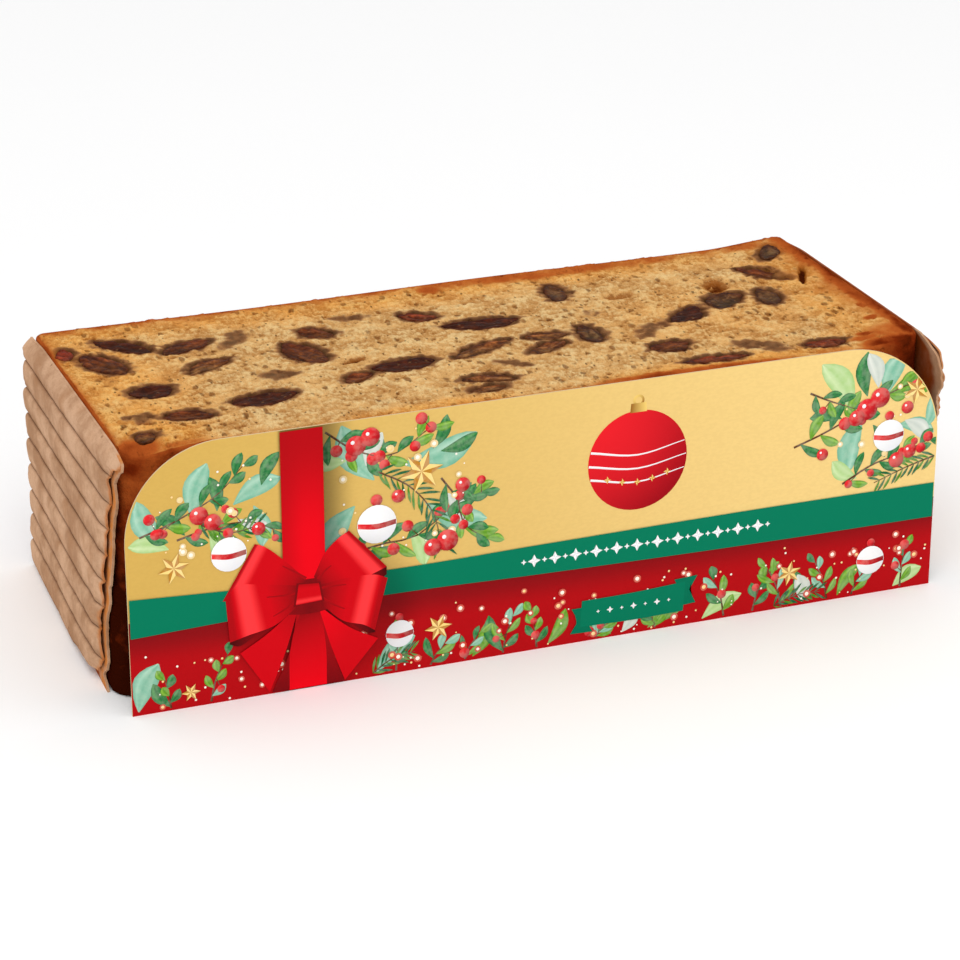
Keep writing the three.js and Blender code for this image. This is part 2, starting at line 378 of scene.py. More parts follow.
class Recipe:
    """Adds nodes to one material's or group's tree and joins them."""

    def __init__(self, tree: bpy.types.NodeTree) -> None:
        """Keeps the tree that the nodes go into."""
        self.tree = tree

    def feed(self, socket: Socket, value: Value) -> None:
        """Links a socket, or sets its number or colour.

        Args:
            socket: The input.
            value: What goes into it.
        """
        if isinstance(value, Socket):
            self.tree.links.new(value, socket)
        elif isinstance(value, tuple) and len(socket.default_value) == 4:
            socket.default_value = (*value, 1)
        else:
            socket.default_value = value

    def node(self, kind: str, inputs: dict[str | int, Value], **settings: object) -> bpy.types.Node:
        """A new node with its settings made and its inputs fed.

        Args:
            kind: The node's kind, without ShaderNode.
            inputs: What goes into each input.
            settings: The node's own settings.

        Returns:
            The node.
        """
        node = self.tree.nodes.new(f"ShaderNode{kind}")
        for name, setting in settings.items():
            setattr(node, name, setting)
        for key, value in inputs.items():
            self.feed(node.inputs[key], value)
        return node

    def place(self) -> Socket:
        """The place on the object, in metres."""
        return self.node("TexCoord", {}).outputs["Object"]

    def axes(self, place: Socket) -> tuple[Socket, ...]:
        """The three numbers of a place, in mm."""
        scaled = self.node("VectorMath", {0: place, "Scale": 1 / MM}, operation="SCALE")
        return tuple(self.node("SeparateXYZ", {0: scaled.outputs[0]}).outputs)

    def mask(self, name: str) -> Socket:
        """A number kept on the mesh."""
        return self.node("Attribute", {}, attribute_name=name).outputs["Fac"]

    def colours(self, name: str) -> Socket:
        """A colour kept on the mesh."""
        return self.node("Attribute", {}, attribute_name=name).outputs["Color"]

    def math(self, operation: str, a: Value, b: Value = 0.0, c: Value = 0.0) -> Socket:
        """One step of arithmetic."""
        return self.node("Math", {0: a, 1: b, 2: c}, operation=operation).outputs[0]

    def step(self, value: Value, low: float, high: float, to_low: float = 0.0, to_high: float = 1.0) -> Socket:
        """A smooth step from to_low at low to to_high at high."""
        inputs = {"Value": value, "From Min": low, "From Max": high, "To Min": to_low, "To Max": to_high}
        return self.node("MapRange", inputs, interpolation_type="SMOOTHSTEP").outputs[0]

    def mix(self, share: Value, a: Value, b: Value, blend: str = "MIX") -> Socket:
        """Colour a with a share of colour b."""
        node = self.node("Mix", {0: share, 6: a, 7: b}, data_type="RGBA", blend_type=blend)
        return node.outputs[2]

    def ramp(self, value: Value, stops: Sequence[tuple[float, Colour]]) -> Socket:
        """A colour from stops along 0 to 1.

        Args:
            value: The place along the ramp.
            stops: Places and colours, in order.

        Returns:
            The colour.
        """
        node = self.node("ValToRGB", {0: value})
        elements = node.color_ramp.elements
        while len(elements) < len(stops):
            elements.new(0.5)
        for element, (place, colour) in zip(elements, stops):
            element.position = place
            element.color = (*colour, 1)
        return node.outputs[0]

    def noise(self, place: Value, size: float, detail: float = 3.0, rough: float = 0.55) -> Socket:
        """Noise from 0 to 1 with lumps of a size in mm."""
        inputs = {"Vector": place, "Scale": 1 / (size * MM), "Detail": detail, "Roughness": rough}
        return self.node("TexNoise", inputs).outputs[0]

    def stretch(self, place: Value, sizes: Triple) -> Socket:
        """A place whose axes are divided by sizes, to draw a pattern out along them."""
        shares = tuple(1 / size for size in sizes)
        return self.node("Mapping", {"Vector": place, "Scale": shares}).outputs[0]

    def group(self, name: str, **inputs: Value) -> Socket:
        """A shared group, by name, with its inputs fed.

        Args:
            name: The group's name.
            inputs: What goes into each input.

        Returns:
            Its output.
        """
        node = self.tree.nodes.new("ShaderNodeGroup")
        node.node_tree = bpy.data.node_groups[name]
        for key, value in inputs.items():
            self.feed(node.inputs[key], value)
        return node.outputs[0]

    def stain(self, colour: Value, other: Colour, where: Value, share: Value) -> Socket:
        """A colour with a share of another one where a mask is."""
        return self.mix(self.math("MULTIPLY", where, share), colour, other)

    def finish(self, shader: bpy.types.Node, colour: Value, rough: Value, shine: float) -> None:
        """Sets what a material's shader takes.

        Args:
            shader: The Principled shader.
            colour: Its colour.
            rough: Its roughness.
            shine: Its level of reflection.
        """
        self.feed(shader.inputs["Base Color"], colour)
        self.feed(shader.inputs["Roughness"], rough)
        self.feed(shader.inputs["Specular IOR Level"], shine)

    def shadowed(self, colour: Value, place: Value) -> Socket:
        """A printed colour darkened by the ribbon's printed shadow.

        Args:
            colour: The colour without the shadow.
            place: The place on the object.

        Returns:
            The darkened colour.
        """
        shade = self.group("ribbon_shade", Place=place)
        grey = self.node("CombineColor", {0: shade, 1: shade, 2: shade}).outputs[0]
        return self.mix(1.0, colour, grey, "MULTIPLY")

    def bump(self, height: Value, depth: float, strength: float = 1.0, normal: Value | None = None) -> Socket:
        """A normal from a height, whose full step is depth mm.

        Args:
            height: The height from 0 to 1.
            depth: A full step in mm.
            strength: The share that counts.
            normal: A normal to start from, if any.

        Returns:
            The normal.
        """
        inputs = {"Height": height, "Distance": depth * MM, "Strength": strength}
        if normal is not None:
            inputs["Normal"] = normal
        return self.node("Bump", inputs).outputs[0]


def new_group(
    name: str, inputs: dict[str, str], output: str
) -> tuple[Recipe, dict[str, Socket], Callable[[Value], None]]:
    """Starts a shared node group.

    Args:
        name: The group's name.
        inputs: Name and kind of each input, the kind one of Float, Vector and Color.
        output: The output's name, which is a Float.

    Returns:
        The group's recipe, its inputs by name, and a function that sets its output.
    """
    tree = bpy.data.node_groups.new(name, "ShaderNodeTree")
    for key, kind in inputs.items():
        tree.interface.new_socket(key, in_out="INPUT", socket_type=f"NodeSocket{kind}")
    tree.interface.new_socket(output, in_out="OUTPUT", socket_type="NodeSocketFloat")
    entry = tree.nodes.new("NodeGroupInput")
    leave = tree.nodes.new("NodeGroupOutput")
    recipe = Recipe(tree)
    return recipe, {key: entry.outputs[key] for key in inputs}, lambda value: recipe.feed(leave.inputs[0], value)


def make_specks() -> None:
    """Group of scattered round specks: Place, Size of a cell, Reach of a speck and Share of cells."""
    kinds = {"Place": "Vector", "Size": "Float", "Reach": "Float", "Share": "Float"}
    recipe, given, put = new_group("specks", kinds, "Mask")
    scale = recipe.math("DIVIDE", 1 / MM, given["Size"])
    wobble = recipe.node("TexNoise", {"Vector": given["Place"], "Scale": scale, "Detail": 2.0})
    shifted = recipe.math("MULTIPLY", given["Size"], 0.5 * MM)
    offset = recipe.node("VectorMath", {0: wobble.outputs[1], "Scale": shifted}, operation="SCALE")
    place = recipe.node("VectorMath", {0: given["Place"], 1: offset.outputs[0]}, operation="ADD")
    cells = recipe.node("TexVoronoi", {"Vector": place.outputs[0], "Scale": scale})
    near = recipe.math("SUBTRACT", 1.0, recipe.math("DIVIDE", cells.outputs["Distance"], given["Reach"]))
    dot = recipe.step(near, 0.0, 0.6)
    draw = recipe.node("SeparateColor", {0: cells.outputs["Color"]}).outputs[0]
    put(recipe.math("MULTIPLY", dot, recipe.math("LESS_THAN", draw, given["Share"])))


def make_mottle() -> None:
    """Group of soft blotches: Place, Size in mm, and the noise value at which they are half full."""
    recipe, given, put = new_group("mottle", {"Place": "Vector", "Size": "Float", "Level": "Float"}, "Mask")
    scale = recipe.math("DIVIDE", 1 / MM, given["Size"])
    inputs = {"Vector": given["Place"], "Scale": scale, "Detail": 5.0, "Roughness": 0.6}
    value = recipe.math("SUBTRACT", recipe.node("TexNoise", inputs).outputs[0], given["Level"])
    put(recipe.step(value, -0.12, 0.12))


def make_ribbon_shade() -> None:
    """Group that darkens the print beside the ribbon and round the bow, as printed shadow: Place."""
    recipe, given, put = new_group("ribbon_shade", {"Place": "Vector"}, "Light")
    x, _, z = recipe.axes(given["Place"])
    beside = recipe.step(x, RIBBON_RIGHT, RIBBON_RIGHT + SHADOW_WIDTH)
    left = recipe.step(x, RIBBON_RIGHT - 11.5, RIBBON_RIGHT - 10.0, 1.0, 0.0)
    from_bow = recipe.node("CombineXYZ", {
        0: recipe.math("DIVIDE", recipe.math("SUBTRACT", x, BOW_MIDDLE[0]), BOW_REACH[0]),
        1: recipe.math("DIVIDE", recipe.math("SUBTRACT", z, BOW_MIDDLE[1]), BOW_REACH[1]),
    })
    far = recipe.node("VectorMath", {0: from_bow.outputs[0]}, operation="LENGTH").outputs["Value"]
    bow = recipe.step(far, 0.7, 1.15, 0.45, 1.0)
    light = recipe.math("MULTIPLY", recipe.math("MAXIMUM", beside, left), bow)
    put(recipe.math("MULTIPLY_ADD", light, 0.65, 0.35))


def new_material(name: str) -> tuple[Recipe, bpy.types.Node]:
    """A new material with its recipe and its one Principled shader.

    Args:
        name: The material's name.

    Returns:
        The recipe and the shader.
    """
    material = bpy.data.materials.new(name)
    material.use_nodes = True
    return Recipe(material.node_tree), material.node_tree.nodes["Principled BSDF"]


RIBBON_RIGHT = -57.7  # right edge of the printed ribbon
SHADOW_WIDTH = 9.0  # of the printed shadow beside the ribbon
BOW_MIDDLE = (-58.5, 20.0)  # middle of the shadow round the bow, in x and z
BOW_REACH = (24.0, 20.0)


# ---------- finishes ----------


@dataclass(frozen=True)
class CrumbFinish:
    """Cut crumb with pores and spice, painted shade in its hollows, pores and pits, painted highlight on its raised
    grains, and baked crust round it, with painted shadow low on its front side.
    """

    dark: Colour = rgb(204, 147, 84)
    light: Colour = rgb(240, 187, 118)
    # the first colour is painted highlight on the raised grains, the second painted shade in the grain's hollows
    crumb_highlight: Colour = rgb(255, 222, 160)
    hollow_shade: Colour = rgb(152, 90, 38)
    gold: Colour = (1.07, 0.78, 0.38)  # linear, multiplies the crumb's own colour
    spice: Colour = rgb(88, 46, 20)
    # painted shade in the pores
    pore_shade: Colour = rgb(128, 70, 28)
    # painted shade in the pits where the grain lies below the cut
    pit: Colour = rgb(146, 82, 30)
    torn: tuple[Colour, ...] = (rgb(166, 88, 22), rgb(140, 72, 18), rgb(84, 32, 8))
    juice: tuple[Colour, ...] = (rgb(202, 150, 98), rgb(156, 106, 68), rgb(106, 66, 44), rgb(62, 36, 24))
    # the darker stops also paint the card's shadow low on the front crust
    baked: tuple[Colour, ...] = (rgb(222, 140, 62), rgb(186, 92, 38), rgb(122, 42, 12), rgb(48, 12, 3))
    draw: Triple = (1.0, 1.8, 1.0)  # the cut draws the grain out along y
    relief: float = 1.1  # depth of the grain

    def build(self) -> Material:
        """Makes the material from the loaf's masks bake, gold, juice, torn, pit and relief; from relief and the grain
        it paints shade in the hollows and highlight on the raised grains.

        Returns:
            The material.
        """
        recipe, shader = new_material("crumb_and_crust")
        place = recipe.place()
        drawn = recipe.stretch(place, self.draw)
        # where the crust is baked and, low on the front side, painted shadow
        bake = recipe.mask("bake")
        broad = recipe.noise(place, 9.0, 5.0, 0.6)
        colour = recipe.mix(recipe.step(broad, 0.38, 0.62), self.dark, self.light)
        grain = recipe.noise(drawn, 1.0, 4.0, 0.7)
        # painted shade where the relief mask and the grain are low and painted highlight where they are high; the
        # fine noise does the same at a smaller scale
        high = recipe.math("MULTIPLY_ADD", recipe.mask("relief"), 0.38, recipe.math("MULTIPLY", grain, 0.62))
        colour = recipe.mix(recipe.step(high, 0.3, 0.5, 0.75, 0.0), colour, self.hollow_shade)
        colour = recipe.mix(recipe.step(high, 0.5, 0.66, 0.0, 0.72), colour, self.crumb_highlight)
        fine = recipe.noise(place, 0.42, 2.0, 0.6)
        colour = recipe.mix(recipe.step(fine, 0.3, 0.44, 0.4, 0.0), colour, self.hollow_shade)
        colour = recipe.mix(recipe.step(fine, 0.56, 0.7, 0.0, 0.3), colour, self.crumb_highlight)
        uneven = recipe.step(recipe.noise(place, 6.0), 0.25, 0.6, 0.6, 1.0)
        gold = recipe.math("MULTIPLY", recipe.mask("gold"), uneven)
        colour = recipe.mix(gold, colour, self.gold, "MULTIPLY")
        # the pores sink in the bump and get painted shade
        pores = recipe.group("specks", Place=drawn, Size=2.3, Reach=0.4, Share=0.3)
        colour = recipe.stain(colour, self.pore_shade, pores, 0.7)
        spice = recipe.group("specks", Place=drawn, Size=1.4, Reach=0.27, Share=0.3)
        colour = recipe.stain(colour, self.spice, spice, 0.82)
        # painted shade in the pits
        colour = recipe.stain(colour, self.pit, recipe.mask("pit"), 0.7)
        patch = recipe.math("MULTIPLY_ADD", grain, 0.4, recipe.math("SUBTRACT", recipe.mask("juice"), 0.2))
        stain = recipe.ramp(patch, tuple(zip((0.1, 0.4, 0.7, 1.0), self.juice)))
        colour = recipe.mix(recipe.step(patch, 0.04, 0.5, 0.0, 0.92), colour, stain)
        blots = recipe.math("SUBTRACT", recipe.noise(drawn, 6.0, 4.0, 0.55), 0.5)
        swing = recipe.math("MULTIPLY", blots, recipe.step(bake, 0.35, 0.75, 0.4, 0.8))
        patchy = recipe.math("ADD", swing, bake)
        crust = recipe.ramp(patchy, tuple(zip((0.12, 0.42, 0.68, 0.95), self.baked)))
        colour = recipe.mix(recipe.step(patchy, 0.02, 0.42), colour, crust)
        torn = recipe.mask("torn")
        colour = recipe.mix(torn, colour, recipe.ramp(torn, tuple(zip((0.3, 0.8, 1.0), self.torn))))
        recipe.finish(shader, colour, recipe.step(patchy, 0.1, 0.7, 0.9, 0.38), 0.0)
        height = recipe.math("SUBTRACT", grain, recipe.math("MULTIPLY", pores, 0.7))
        height = recipe.math("MULTIPLY_ADD", fine, 0.45, height)
        height = recipe.math("MULTIPLY", height, recipe.step(bake, 0.2, 0.6, 1.0, 0.35))
        recipe.feed(shader.inputs["Normal"], recipe.bump(height, self.relief))
        return bpy.data.materials["crumb_and_crust"]


@dataclass(frozen=True)
class RaisinFinish:
    """Dull wrinkled fruit, with crumb and dust specks in its folds, and painted shade darkening the folds."""

    dust: Colour = rgb(150, 104, 66)
    dull: Colour = rgb(170, 150, 136)
    # painted shade in the folds
    fold: Colour = rgb(34, 17, 10)

    def build(self) -> Material:
        """Makes the material; it reads the raisins' colour tone and mask fold, where it paints shade into the folds.

        Returns:
            The material.
        """
        recipe, shader = new_material("raisin_skin")
        place = recipe.place()
        grain = recipe.noise(place, 1.4, 4.0, 0.65)
        tone = recipe.colours("tone")
        dulled = recipe.mix(1.0, tone, self.dull, "MULTIPLY")
        colour = recipe.mix(recipe.step(grain, 0.36, 0.66), dulled, tone)
        # painted shade in the wrinkles' folds
        colour = recipe.stain(colour, self.fold, recipe.mask("fold"), 0.5)
        dusty = recipe.group("specks", Place=place, Size=1.5, Reach=0.34, Share=0.3)
        colour = recipe.stain(colour, self.dust, dusty, 0.35)
        recipe.finish(shader, colour, recipe.step(grain, 0.3, 0.7, 0.4, 0.66), 0.03)
        recipe.feed(shader.inputs["Normal"], recipe.bump(recipe.noise(place, 0.7, 4.0, 0.7), 0.25))
        return bpy.data.materials["raisin_skin"]


@dataclass(frozen=True)
class PaperFinish:
    """Brown baking paper with fibres, creases and baked edges, and painted shade in the flutes' valleys and on their
    lower flanks.
    """

    light: Colour = rgb(211, 170, 137)
    dark: Colour = rgb(174, 132, 100)
    edge: Colour = rgb(200, 122, 56)
    baked: Colour = rgb(146, 66, 22)
    fibre: Colour = rgb(140, 98, 66)
    blotch: Colour = rgb(176, 124, 84)
    speck: Colour = rgb(110, 68, 38)
    # painted shade in the valleys and on the flutes' lower flanks
    valley: Colour = rgb(92, 56, 32)

    def build(self) -> Material:
        """Makes the material; it reads the paper's masks edge, valley and baked, and paints shade where valley is.

        Returns:
            The material.
        """
        recipe, shader = new_material("baking_paper_brown")
        place = recipe.place()
        fibres = recipe.noise(recipe.stretch(place, (1.0, 3.0, 1.0)), 0.4, 4.0, 0.7)
        broad = recipe.noise(place, 14.0, 5.0, 0.65)
        colour = recipe.mix(recipe.step(broad, 0.35, 0.65), self.dark, self.light)
        colour = recipe.mix(recipe.step(fibres, 0.3, 0.55, 0.2, 0.0), colour, self.fibre)
        marks = recipe.group("mottle", Place=place, Size=9.0, Level=0.6)
        colour = recipe.stain(colour, self.blotch, marks, 0.3)
        specks = recipe.group("specks", Place=place, Size=5.0, Reach=0.12, Share=0.35)
        colour = recipe.stain(colour, self.speck, specks, 0.5)
        # painted shade in the valleys and on the lower flanks
        colour = recipe.stain(colour, self.valley, recipe.mask("valley"), 0.72)
        uneven = recipe.step(recipe.noise(place, 3.0, 4.0), 0.35, 0.6, 0.45, 0.95)
        colour = recipe.stain(colour, self.edge, recipe.mask("edge"), uneven)
        uneven = recipe.step(recipe.noise(place, 6.0, 4.0), 0.2, 0.55, 0.75, 1.0)
        baked = recipe.math("MULTIPLY", recipe.mask("baked"), uneven)
        colour = recipe.mix(baked, colour, self.baked)
        recipe.finish(shader, colour, recipe.step(baked, 0.0, 1.0, 0.85, 0.55), 0.01)
        recipe.feed(shader.inputs["Normal"], recipe.bump(fibres, 0.08, 0.8))
        return bpy.data.materials["baking_paper_brown"]


@dataclass(frozen=True)
class CardFinish:
    """The card: gold above and red below on its face, white cut edges and plain board behind."""

    gold_left: Colour = rgb(212, 173, 88)
    gold_right: Colour = rgb(241, 207, 133)
    red: Colour = rgb(178, 9, 17)
    red_shade: Colour = rgb(136, 12, 18)
    grain: Colour = rgb(170, 126, 60)
    cut: Colour = rgb(216, 190, 142)
    board: Colour = rgb(214, 202, 184)
    ink_depth: float = 0.04  # how deep the face's colours go
    cut_depth: float = 0.46  # how deep the cut edge's colour goes

    def build(self) -> Material:
        """Makes the material from the place on the card.

        Returns:
            The material.
        """
        recipe, shader = new_material("card_board")
        place = recipe.place()
        x, y, z = recipe.axes(place)
        gold = recipe.mix(recipe.step(x, -100.0, 90.0), self.gold_left, self.gold_right)
        grain = recipe.noise(recipe.stretch(place, (2.0, 1.0, 1.0)), 0.6, 3.0)
        gold = recipe.mix(recipe.step(grain, 0.35, 0.65, 0.07, 0.0), gold, self.grain)
        red = recipe.mix(recipe.step(z, 12.0, 20.5), self.red, self.red_shade)
        face = recipe.mix(recipe.math("GREATER_THAN", z, FIELD_SPLIT), red, gold)
        face = recipe.shadowed(face, place)
        cut = recipe.math("GREATER_THAN", y, CARD_FACE + self.ink_depth)
        back = recipe.math("GREATER_THAN", y, CARD_FACE + self.cut_depth)
        colour = recipe.mix(cut, face, self.cut)
        colour = recipe.mix(back, colour, self.board)
        recipe.finish(shader, colour, recipe.step(cut, 0.0, 1.0, 0.42, 0.85), 0.05)
        recipe.feed(shader.inputs["Normal"], recipe.bump(grain, 0.01, 0.5))
        return bpy.data.materials["card_board"]


@dataclass(frozen=True)
class InkFinish:
    """Printed ink whose colours the print's mesh holds."""

    name: str
    shaded: bool  # whether the ribbon's printed shadow falls on it
    wash: float  # how much the colour varies, as in a watercolour
    washed: Colour = rgb(245, 245, 225)

    def build(self) -> Material:
        """Makes the material; it reads the print's colour ink.

        Returns:
            The material.
        """
        recipe, shader = new_material(self.name)
        place = recipe.place()
        colour = recipe.colours("ink")
        blotch = recipe.group("mottle", Place=place, Size=2.5, Level=0.5)
        colour = recipe.stain(colour, self.washed, blotch, self.wash)
        if self.shaded:
            colour = recipe.shadowed(colour, place)
        recipe.finish(shader, colour, 0.42, 0.05)
        return bpy.data.materials[self.name]


FIELD_SPLIT = 24.5  # height at which the gold field meets the red one, under the green band


# ---------- raisins ----------


class Tone(Enum):
    """Colours of the raisins."""

    DARK = rgb(82, 38, 22)
    BROWN = rgb(132, 74, 38)
    GREY = rgb(118, 86, 54)
    LIGHT = rgb(164, 108, 60)
    PURPLE = rgb(160, 78, 46)
    RED = rgb(184, 74, 44)
    HIDDEN = rgb(104, 70, 48)


TONES = {
    Tone.BROWN: (3, 4, 8, 13, 14, 17, 29, 34),
    Tone.GREY: (26, 27, 32, 33, 35),
    Tone.LIGHT: (6, 10, 19, 21, 22, 24, 25),
    Tone.PURPLE: (16, 37, 38),
    Tone.RED: (1,),
    Tone.HIDDEN: (5, 9, 12, 15, 23, 28, 30, 36),
}


@dataclass
class Raisins:
    """Every raisin in the cut top, wrinkled over its CAD solid's form."""

    levels: int = 3
    pair_angle: float = 50.0  # triangles within this angle become one face
    wrinkle: float = 0.45  # depth of the folds
    taper: float = 0.42  # how much narrower the ends are than an oval's
    fold_width: float = 2.2
    draw_out: float = 2.6  # how much longer than wide the folds are
    short_fold: Triple = (1.3, 0.9, 0.9)  # sizes of the small folds between them
    dish: float = 0.3  # how far the cut tops are hollow
    proud: float = 0.05  # how far the highest point stands out of the crumb
    sunk: float = 1.2  # how far under the crumb the hidden ones lie
    deepest: tuple[int, ...] = (28,)  # hidden ones that lie lower still
    deeper: float = 0.8  # by so much
    near: Colour = (0.9, 1.06, 1.12)  # tint of the side towards the card
    far: Colour = (1.2, 0.92, 0.8)  # and of the side away from it
    rim: Colour = rgb(92, 42, 22)
    halves: int = 20  # number of the last raisin of the left piece
    seed_step: float = 7.3  # moves the noise on from raisin to raisin

    def tone_of(self, number: int) -> Tone:
        """The colour of a raisin by its number."""
        return next((tone for tone, numbers in TONES.items() if number in numbers), Tone.DARK)

    def copy_of(self, node: Piece) -> Piece:
        """A copy of a raisin's solid, with its points merged.

        Args:
            node: The raisin's CAD node.

        Returns:
            The copy, in quads where they fit.
        """
        piece = bpy.data.objects.new(f"{node.name}_skin", node.data.copy())
        bpy.context.collection.objects.link(piece)
        choose(piece)
        bpy.ops.object.mode_set(mode="EDIT")
        bpy.ops.mesh.select_all(action="SELECT")
        bpy.ops.mesh.remove_doubles(threshold=MERGE)
        limit = math.radians(self.pair_angle)
        bpy.ops.mesh.tris_convert_to_quads(face_threshold=limit, shape_threshold=limit)
        bpy.ops.object.mode_set(mode="OBJECT")
        return piece

    def make_one(self, node: Piece, loaf: "Loaf") -> Piece:
        """Shapes one raisin from a copy of its solid.

        Args:
            node: The raisin's CAD node.
            loaf: The loaf it lies in.

        Returns:
            The raisin.
        """
        number = int(node.name.rsplit("_", 1)[1])
        tone = self.tone_of(number)
        piece = self.copy_of(node)
        solid = points_of(piece)
        smoothing = piece.modifiers.new("smooth", "SUBSURF")
        smoothing.levels = smoothing.render_levels = self.levels
        apply_modifiers(piece)
        centre = solid.mean(0)
        turn = np.eye(3)
        turn[:2, :2] = np.linalg.svd((solid - centre)[:, :2], full_matrices=False)[2]
        local, wanted = (points_of(piece) - centre) @ turn.T, (solid - centre) @ turn.T
        for axis in range(3):
            low, high = local[:, axis].min(), local[:, axis].max()
            share = (local[:, axis] - low) / (high - low)
            local[:, axis] = wanted[:, axis].min() + share * np.ptp(wanted[:, axis])
        across = 2 * np.hypot(local[:, 0] / np.ptp(wanted[:, 0]), local[:, 1] / np.ptp(wanted[:, 1]))
        local[:, 1] *= 1 - self.taper * np.abs(2 * local[:, 0] / np.ptp(wanted[:, 0])) ** 3
        set_points(piece, centre + local @ turn)
        seed = self.seed_step * number
        fold_sizes = (self.fold_width * self.draw_out, self.fold_width, self.fold_width)
        long_folds = np.abs(cloud(local, fold_sizes, seed))
        short_folds = np.abs(cloud(local, self.short_fold, seed + 3))
        fold = 1 - np.clip(3.2 * long_folds, 0, 1)
        relief = self.wrinkle * (0.3 - fold) + 0.16 * (np.clip(3 * short_folds, 0, 1) - 0.5)
        normals = normals_of(piece)
        upward = smooth(0.2, 0.9, normals[:, 2])
        swell = 0.5 * relief * (0.3 + 0.7 * upward) + 0.35 * cloud(local, (4.0, 3.0, 3.0), seed + 8)
        moved = points_of(piece) + normals * swell[:, None]
        moved[:, 2] -= upward * self.dish * (1 - np.clip(across, 0, 1) ** 2)
        highest = moved[moved[:, 2].argmax()]
        wanted_top = loaf.top_at(highest[0], highest[1]) + (-self.sunk if tone is Tone.HIDDEN else self.proud)
        wanted_top -= self.deeper * (number in self.deepest)
        moved[:, 2] += wanted_top - highest[2]
        set_points(piece, moved)
        # the folds' mask, where the material paints shade
        write_mask(piece, "fold", fold)
        streaks = cloud(local, (6.0, 2.2, 3.0), seed + 5) + 0.45 * cloud(local, (2.0, 1.1, 1.5), seed + 6)
        lighter = np.clip(0.95 + 0.7 * streaks, 0.45, 1.7)[:, None]
        back = smooth(-1, 1, (moved[:, 1] - centre[1]) / np.ptp(moved[:, 1]) * 2)[:, None]
        tint = np.array(self.near) * (1 - back) + np.array(self.far) * back
        rimmed = (0.7 * smooth(0.4, 0.95, across + 0.5 * cloud(local, 3.0, seed)))[:, None]
        skin = np.array(tone.value) * lighter * tint
        write_colours(piece, "tone", skin * (1 - rimmed) + np.array(self.rim) * rimmed)
        return piece

    def build(self, material: Material, loaf: "Loaf") -> list[Piece]:
        """Makes the raisins as two pieces, the left half and the right half.

        Args:
            material: The raisins' material.
            loaf: The loaf they lie in.

        Returns:
            The two pieces.
        """
        names = sorted(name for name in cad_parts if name.startswith("raisin_"))
        pieces = []
        for name, part in (("raisins_left", names[: self.halves]), ("raisins_right", names[self.halves :])):
            piece = join([self.make_one(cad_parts[node], loaf) for node in part], name)
            shade_smooth(piece, 180)
            pieces.append(dress(piece, material, part))
        return pieces


# ---------- loaf ----------


@dataclass(frozen=True)
class Patch:
    """An oval place on the cut top where a mask is stronger."""

    x: float
    depth: float  # behind the card's face
    long: float  # half sizes
    wide: float
    turn: float
    strength: float

    def over(self, x: np.ndarray, depth: np.ndarray) -> np.ndarray:
        """The patch's strength at each place.

        Args:
            x: Places along the loaf.
            depth: Places behind the card's face.

        Returns:
            The strength, up to 1.
        """
        angle = math.radians(self.turn)
        u = (x - self.x) * math.cos(angle) + (depth - self.depth) * math.sin(angle)
        v = (depth - self.depth) * math.cos(angle) - (x - self.x) * math.sin(angle)
        return np.minimum(self.strength * smooth(1.4, 0.35, np.hypot(u / self.long, v / self.wide)), 1)


def patches(*rows: tuple[float, ...]) -> tuple[Patch, ...]:
    """Patches from rows of their six numbers, in the order of the class."""
    return tuple(Patch(*row) for row in rows)


DARK_PATCHES = patches(
    (1.5, 90.0, 5.0, 4.5, 0, 0.42), (32, 91.5, 44, 5, 0, 0.42), (93, 91, 8, 4, 0, 0.36),
    (-45, 93.5, 40, 2.2, 0, 0.2), (67, 91.5, 9, 3.5, 0, 0.36), (-98, 92, 7, 2.5, 0, 0.26),
    (-78, 93, 12, 2.5, 0, 0.3), (94, 18, 3.2, 1.4, -10, 0.55), (100, 27, 2.5, 1.6, 20, 0.6),
    (102, 36, 1.8, 2.4, 0, 0.5), (98, 10.5, 10, 4.5, 0, 0.7), (92.5, 15.5, 6, 2.2, 0, 0.42),
    (106, 18, 4, 12, 0, 0.74), (105.5, 42, 4, 22, 0, 0.62), (101, 17, 8, 7, 0, 0.42),
    (44, 10.5, 30, 2.8, 0, 0.55), (82, 11.5, 9, 2.4, 0, 0.3), (-100, 12.5, 8, 6, 0, 0.48),
    (-89, 11, 7, 1.8, 0, 0.34),
)
GOLD_PATCHES = patches(
    (-98, 55, 24, 75, 0, 0.68), (-88, 90, 30, 10, 0, 0.8), (-92, 17, 14, 9, 0, 0.9),
    (-25, 11, 26, 4.5, 0, 0.8), (56, 12, 40, 6, 0, 0.8), (98, 50, 14, 65, 0, 0.65), (96, 22, 12, 9, 0, 0.6),
    (0, 91, 130, 12, 0, 0.75), (68, 48, 34, 26, 0, 0.35),
)
TORN = patches(
    (74.6, 67, 5.2, 3.4, 70, 0.95), (-33.2, 48.4, 3.4, 1.6, 20, 1.1), (47, 68, 4.4, 2.2, 0, 0.6),
    (-94, 25, 2, 1.2, 0, 0.8),
)
CRACKS = patches(
    (99, 64.6, 6.5, 1.0, 66, 1.9), (73.5, 65.5, 3.2, 0.7, 50, 1.2), (-33, 47.6, 3.0, 0.5, 10, 1.2),
)


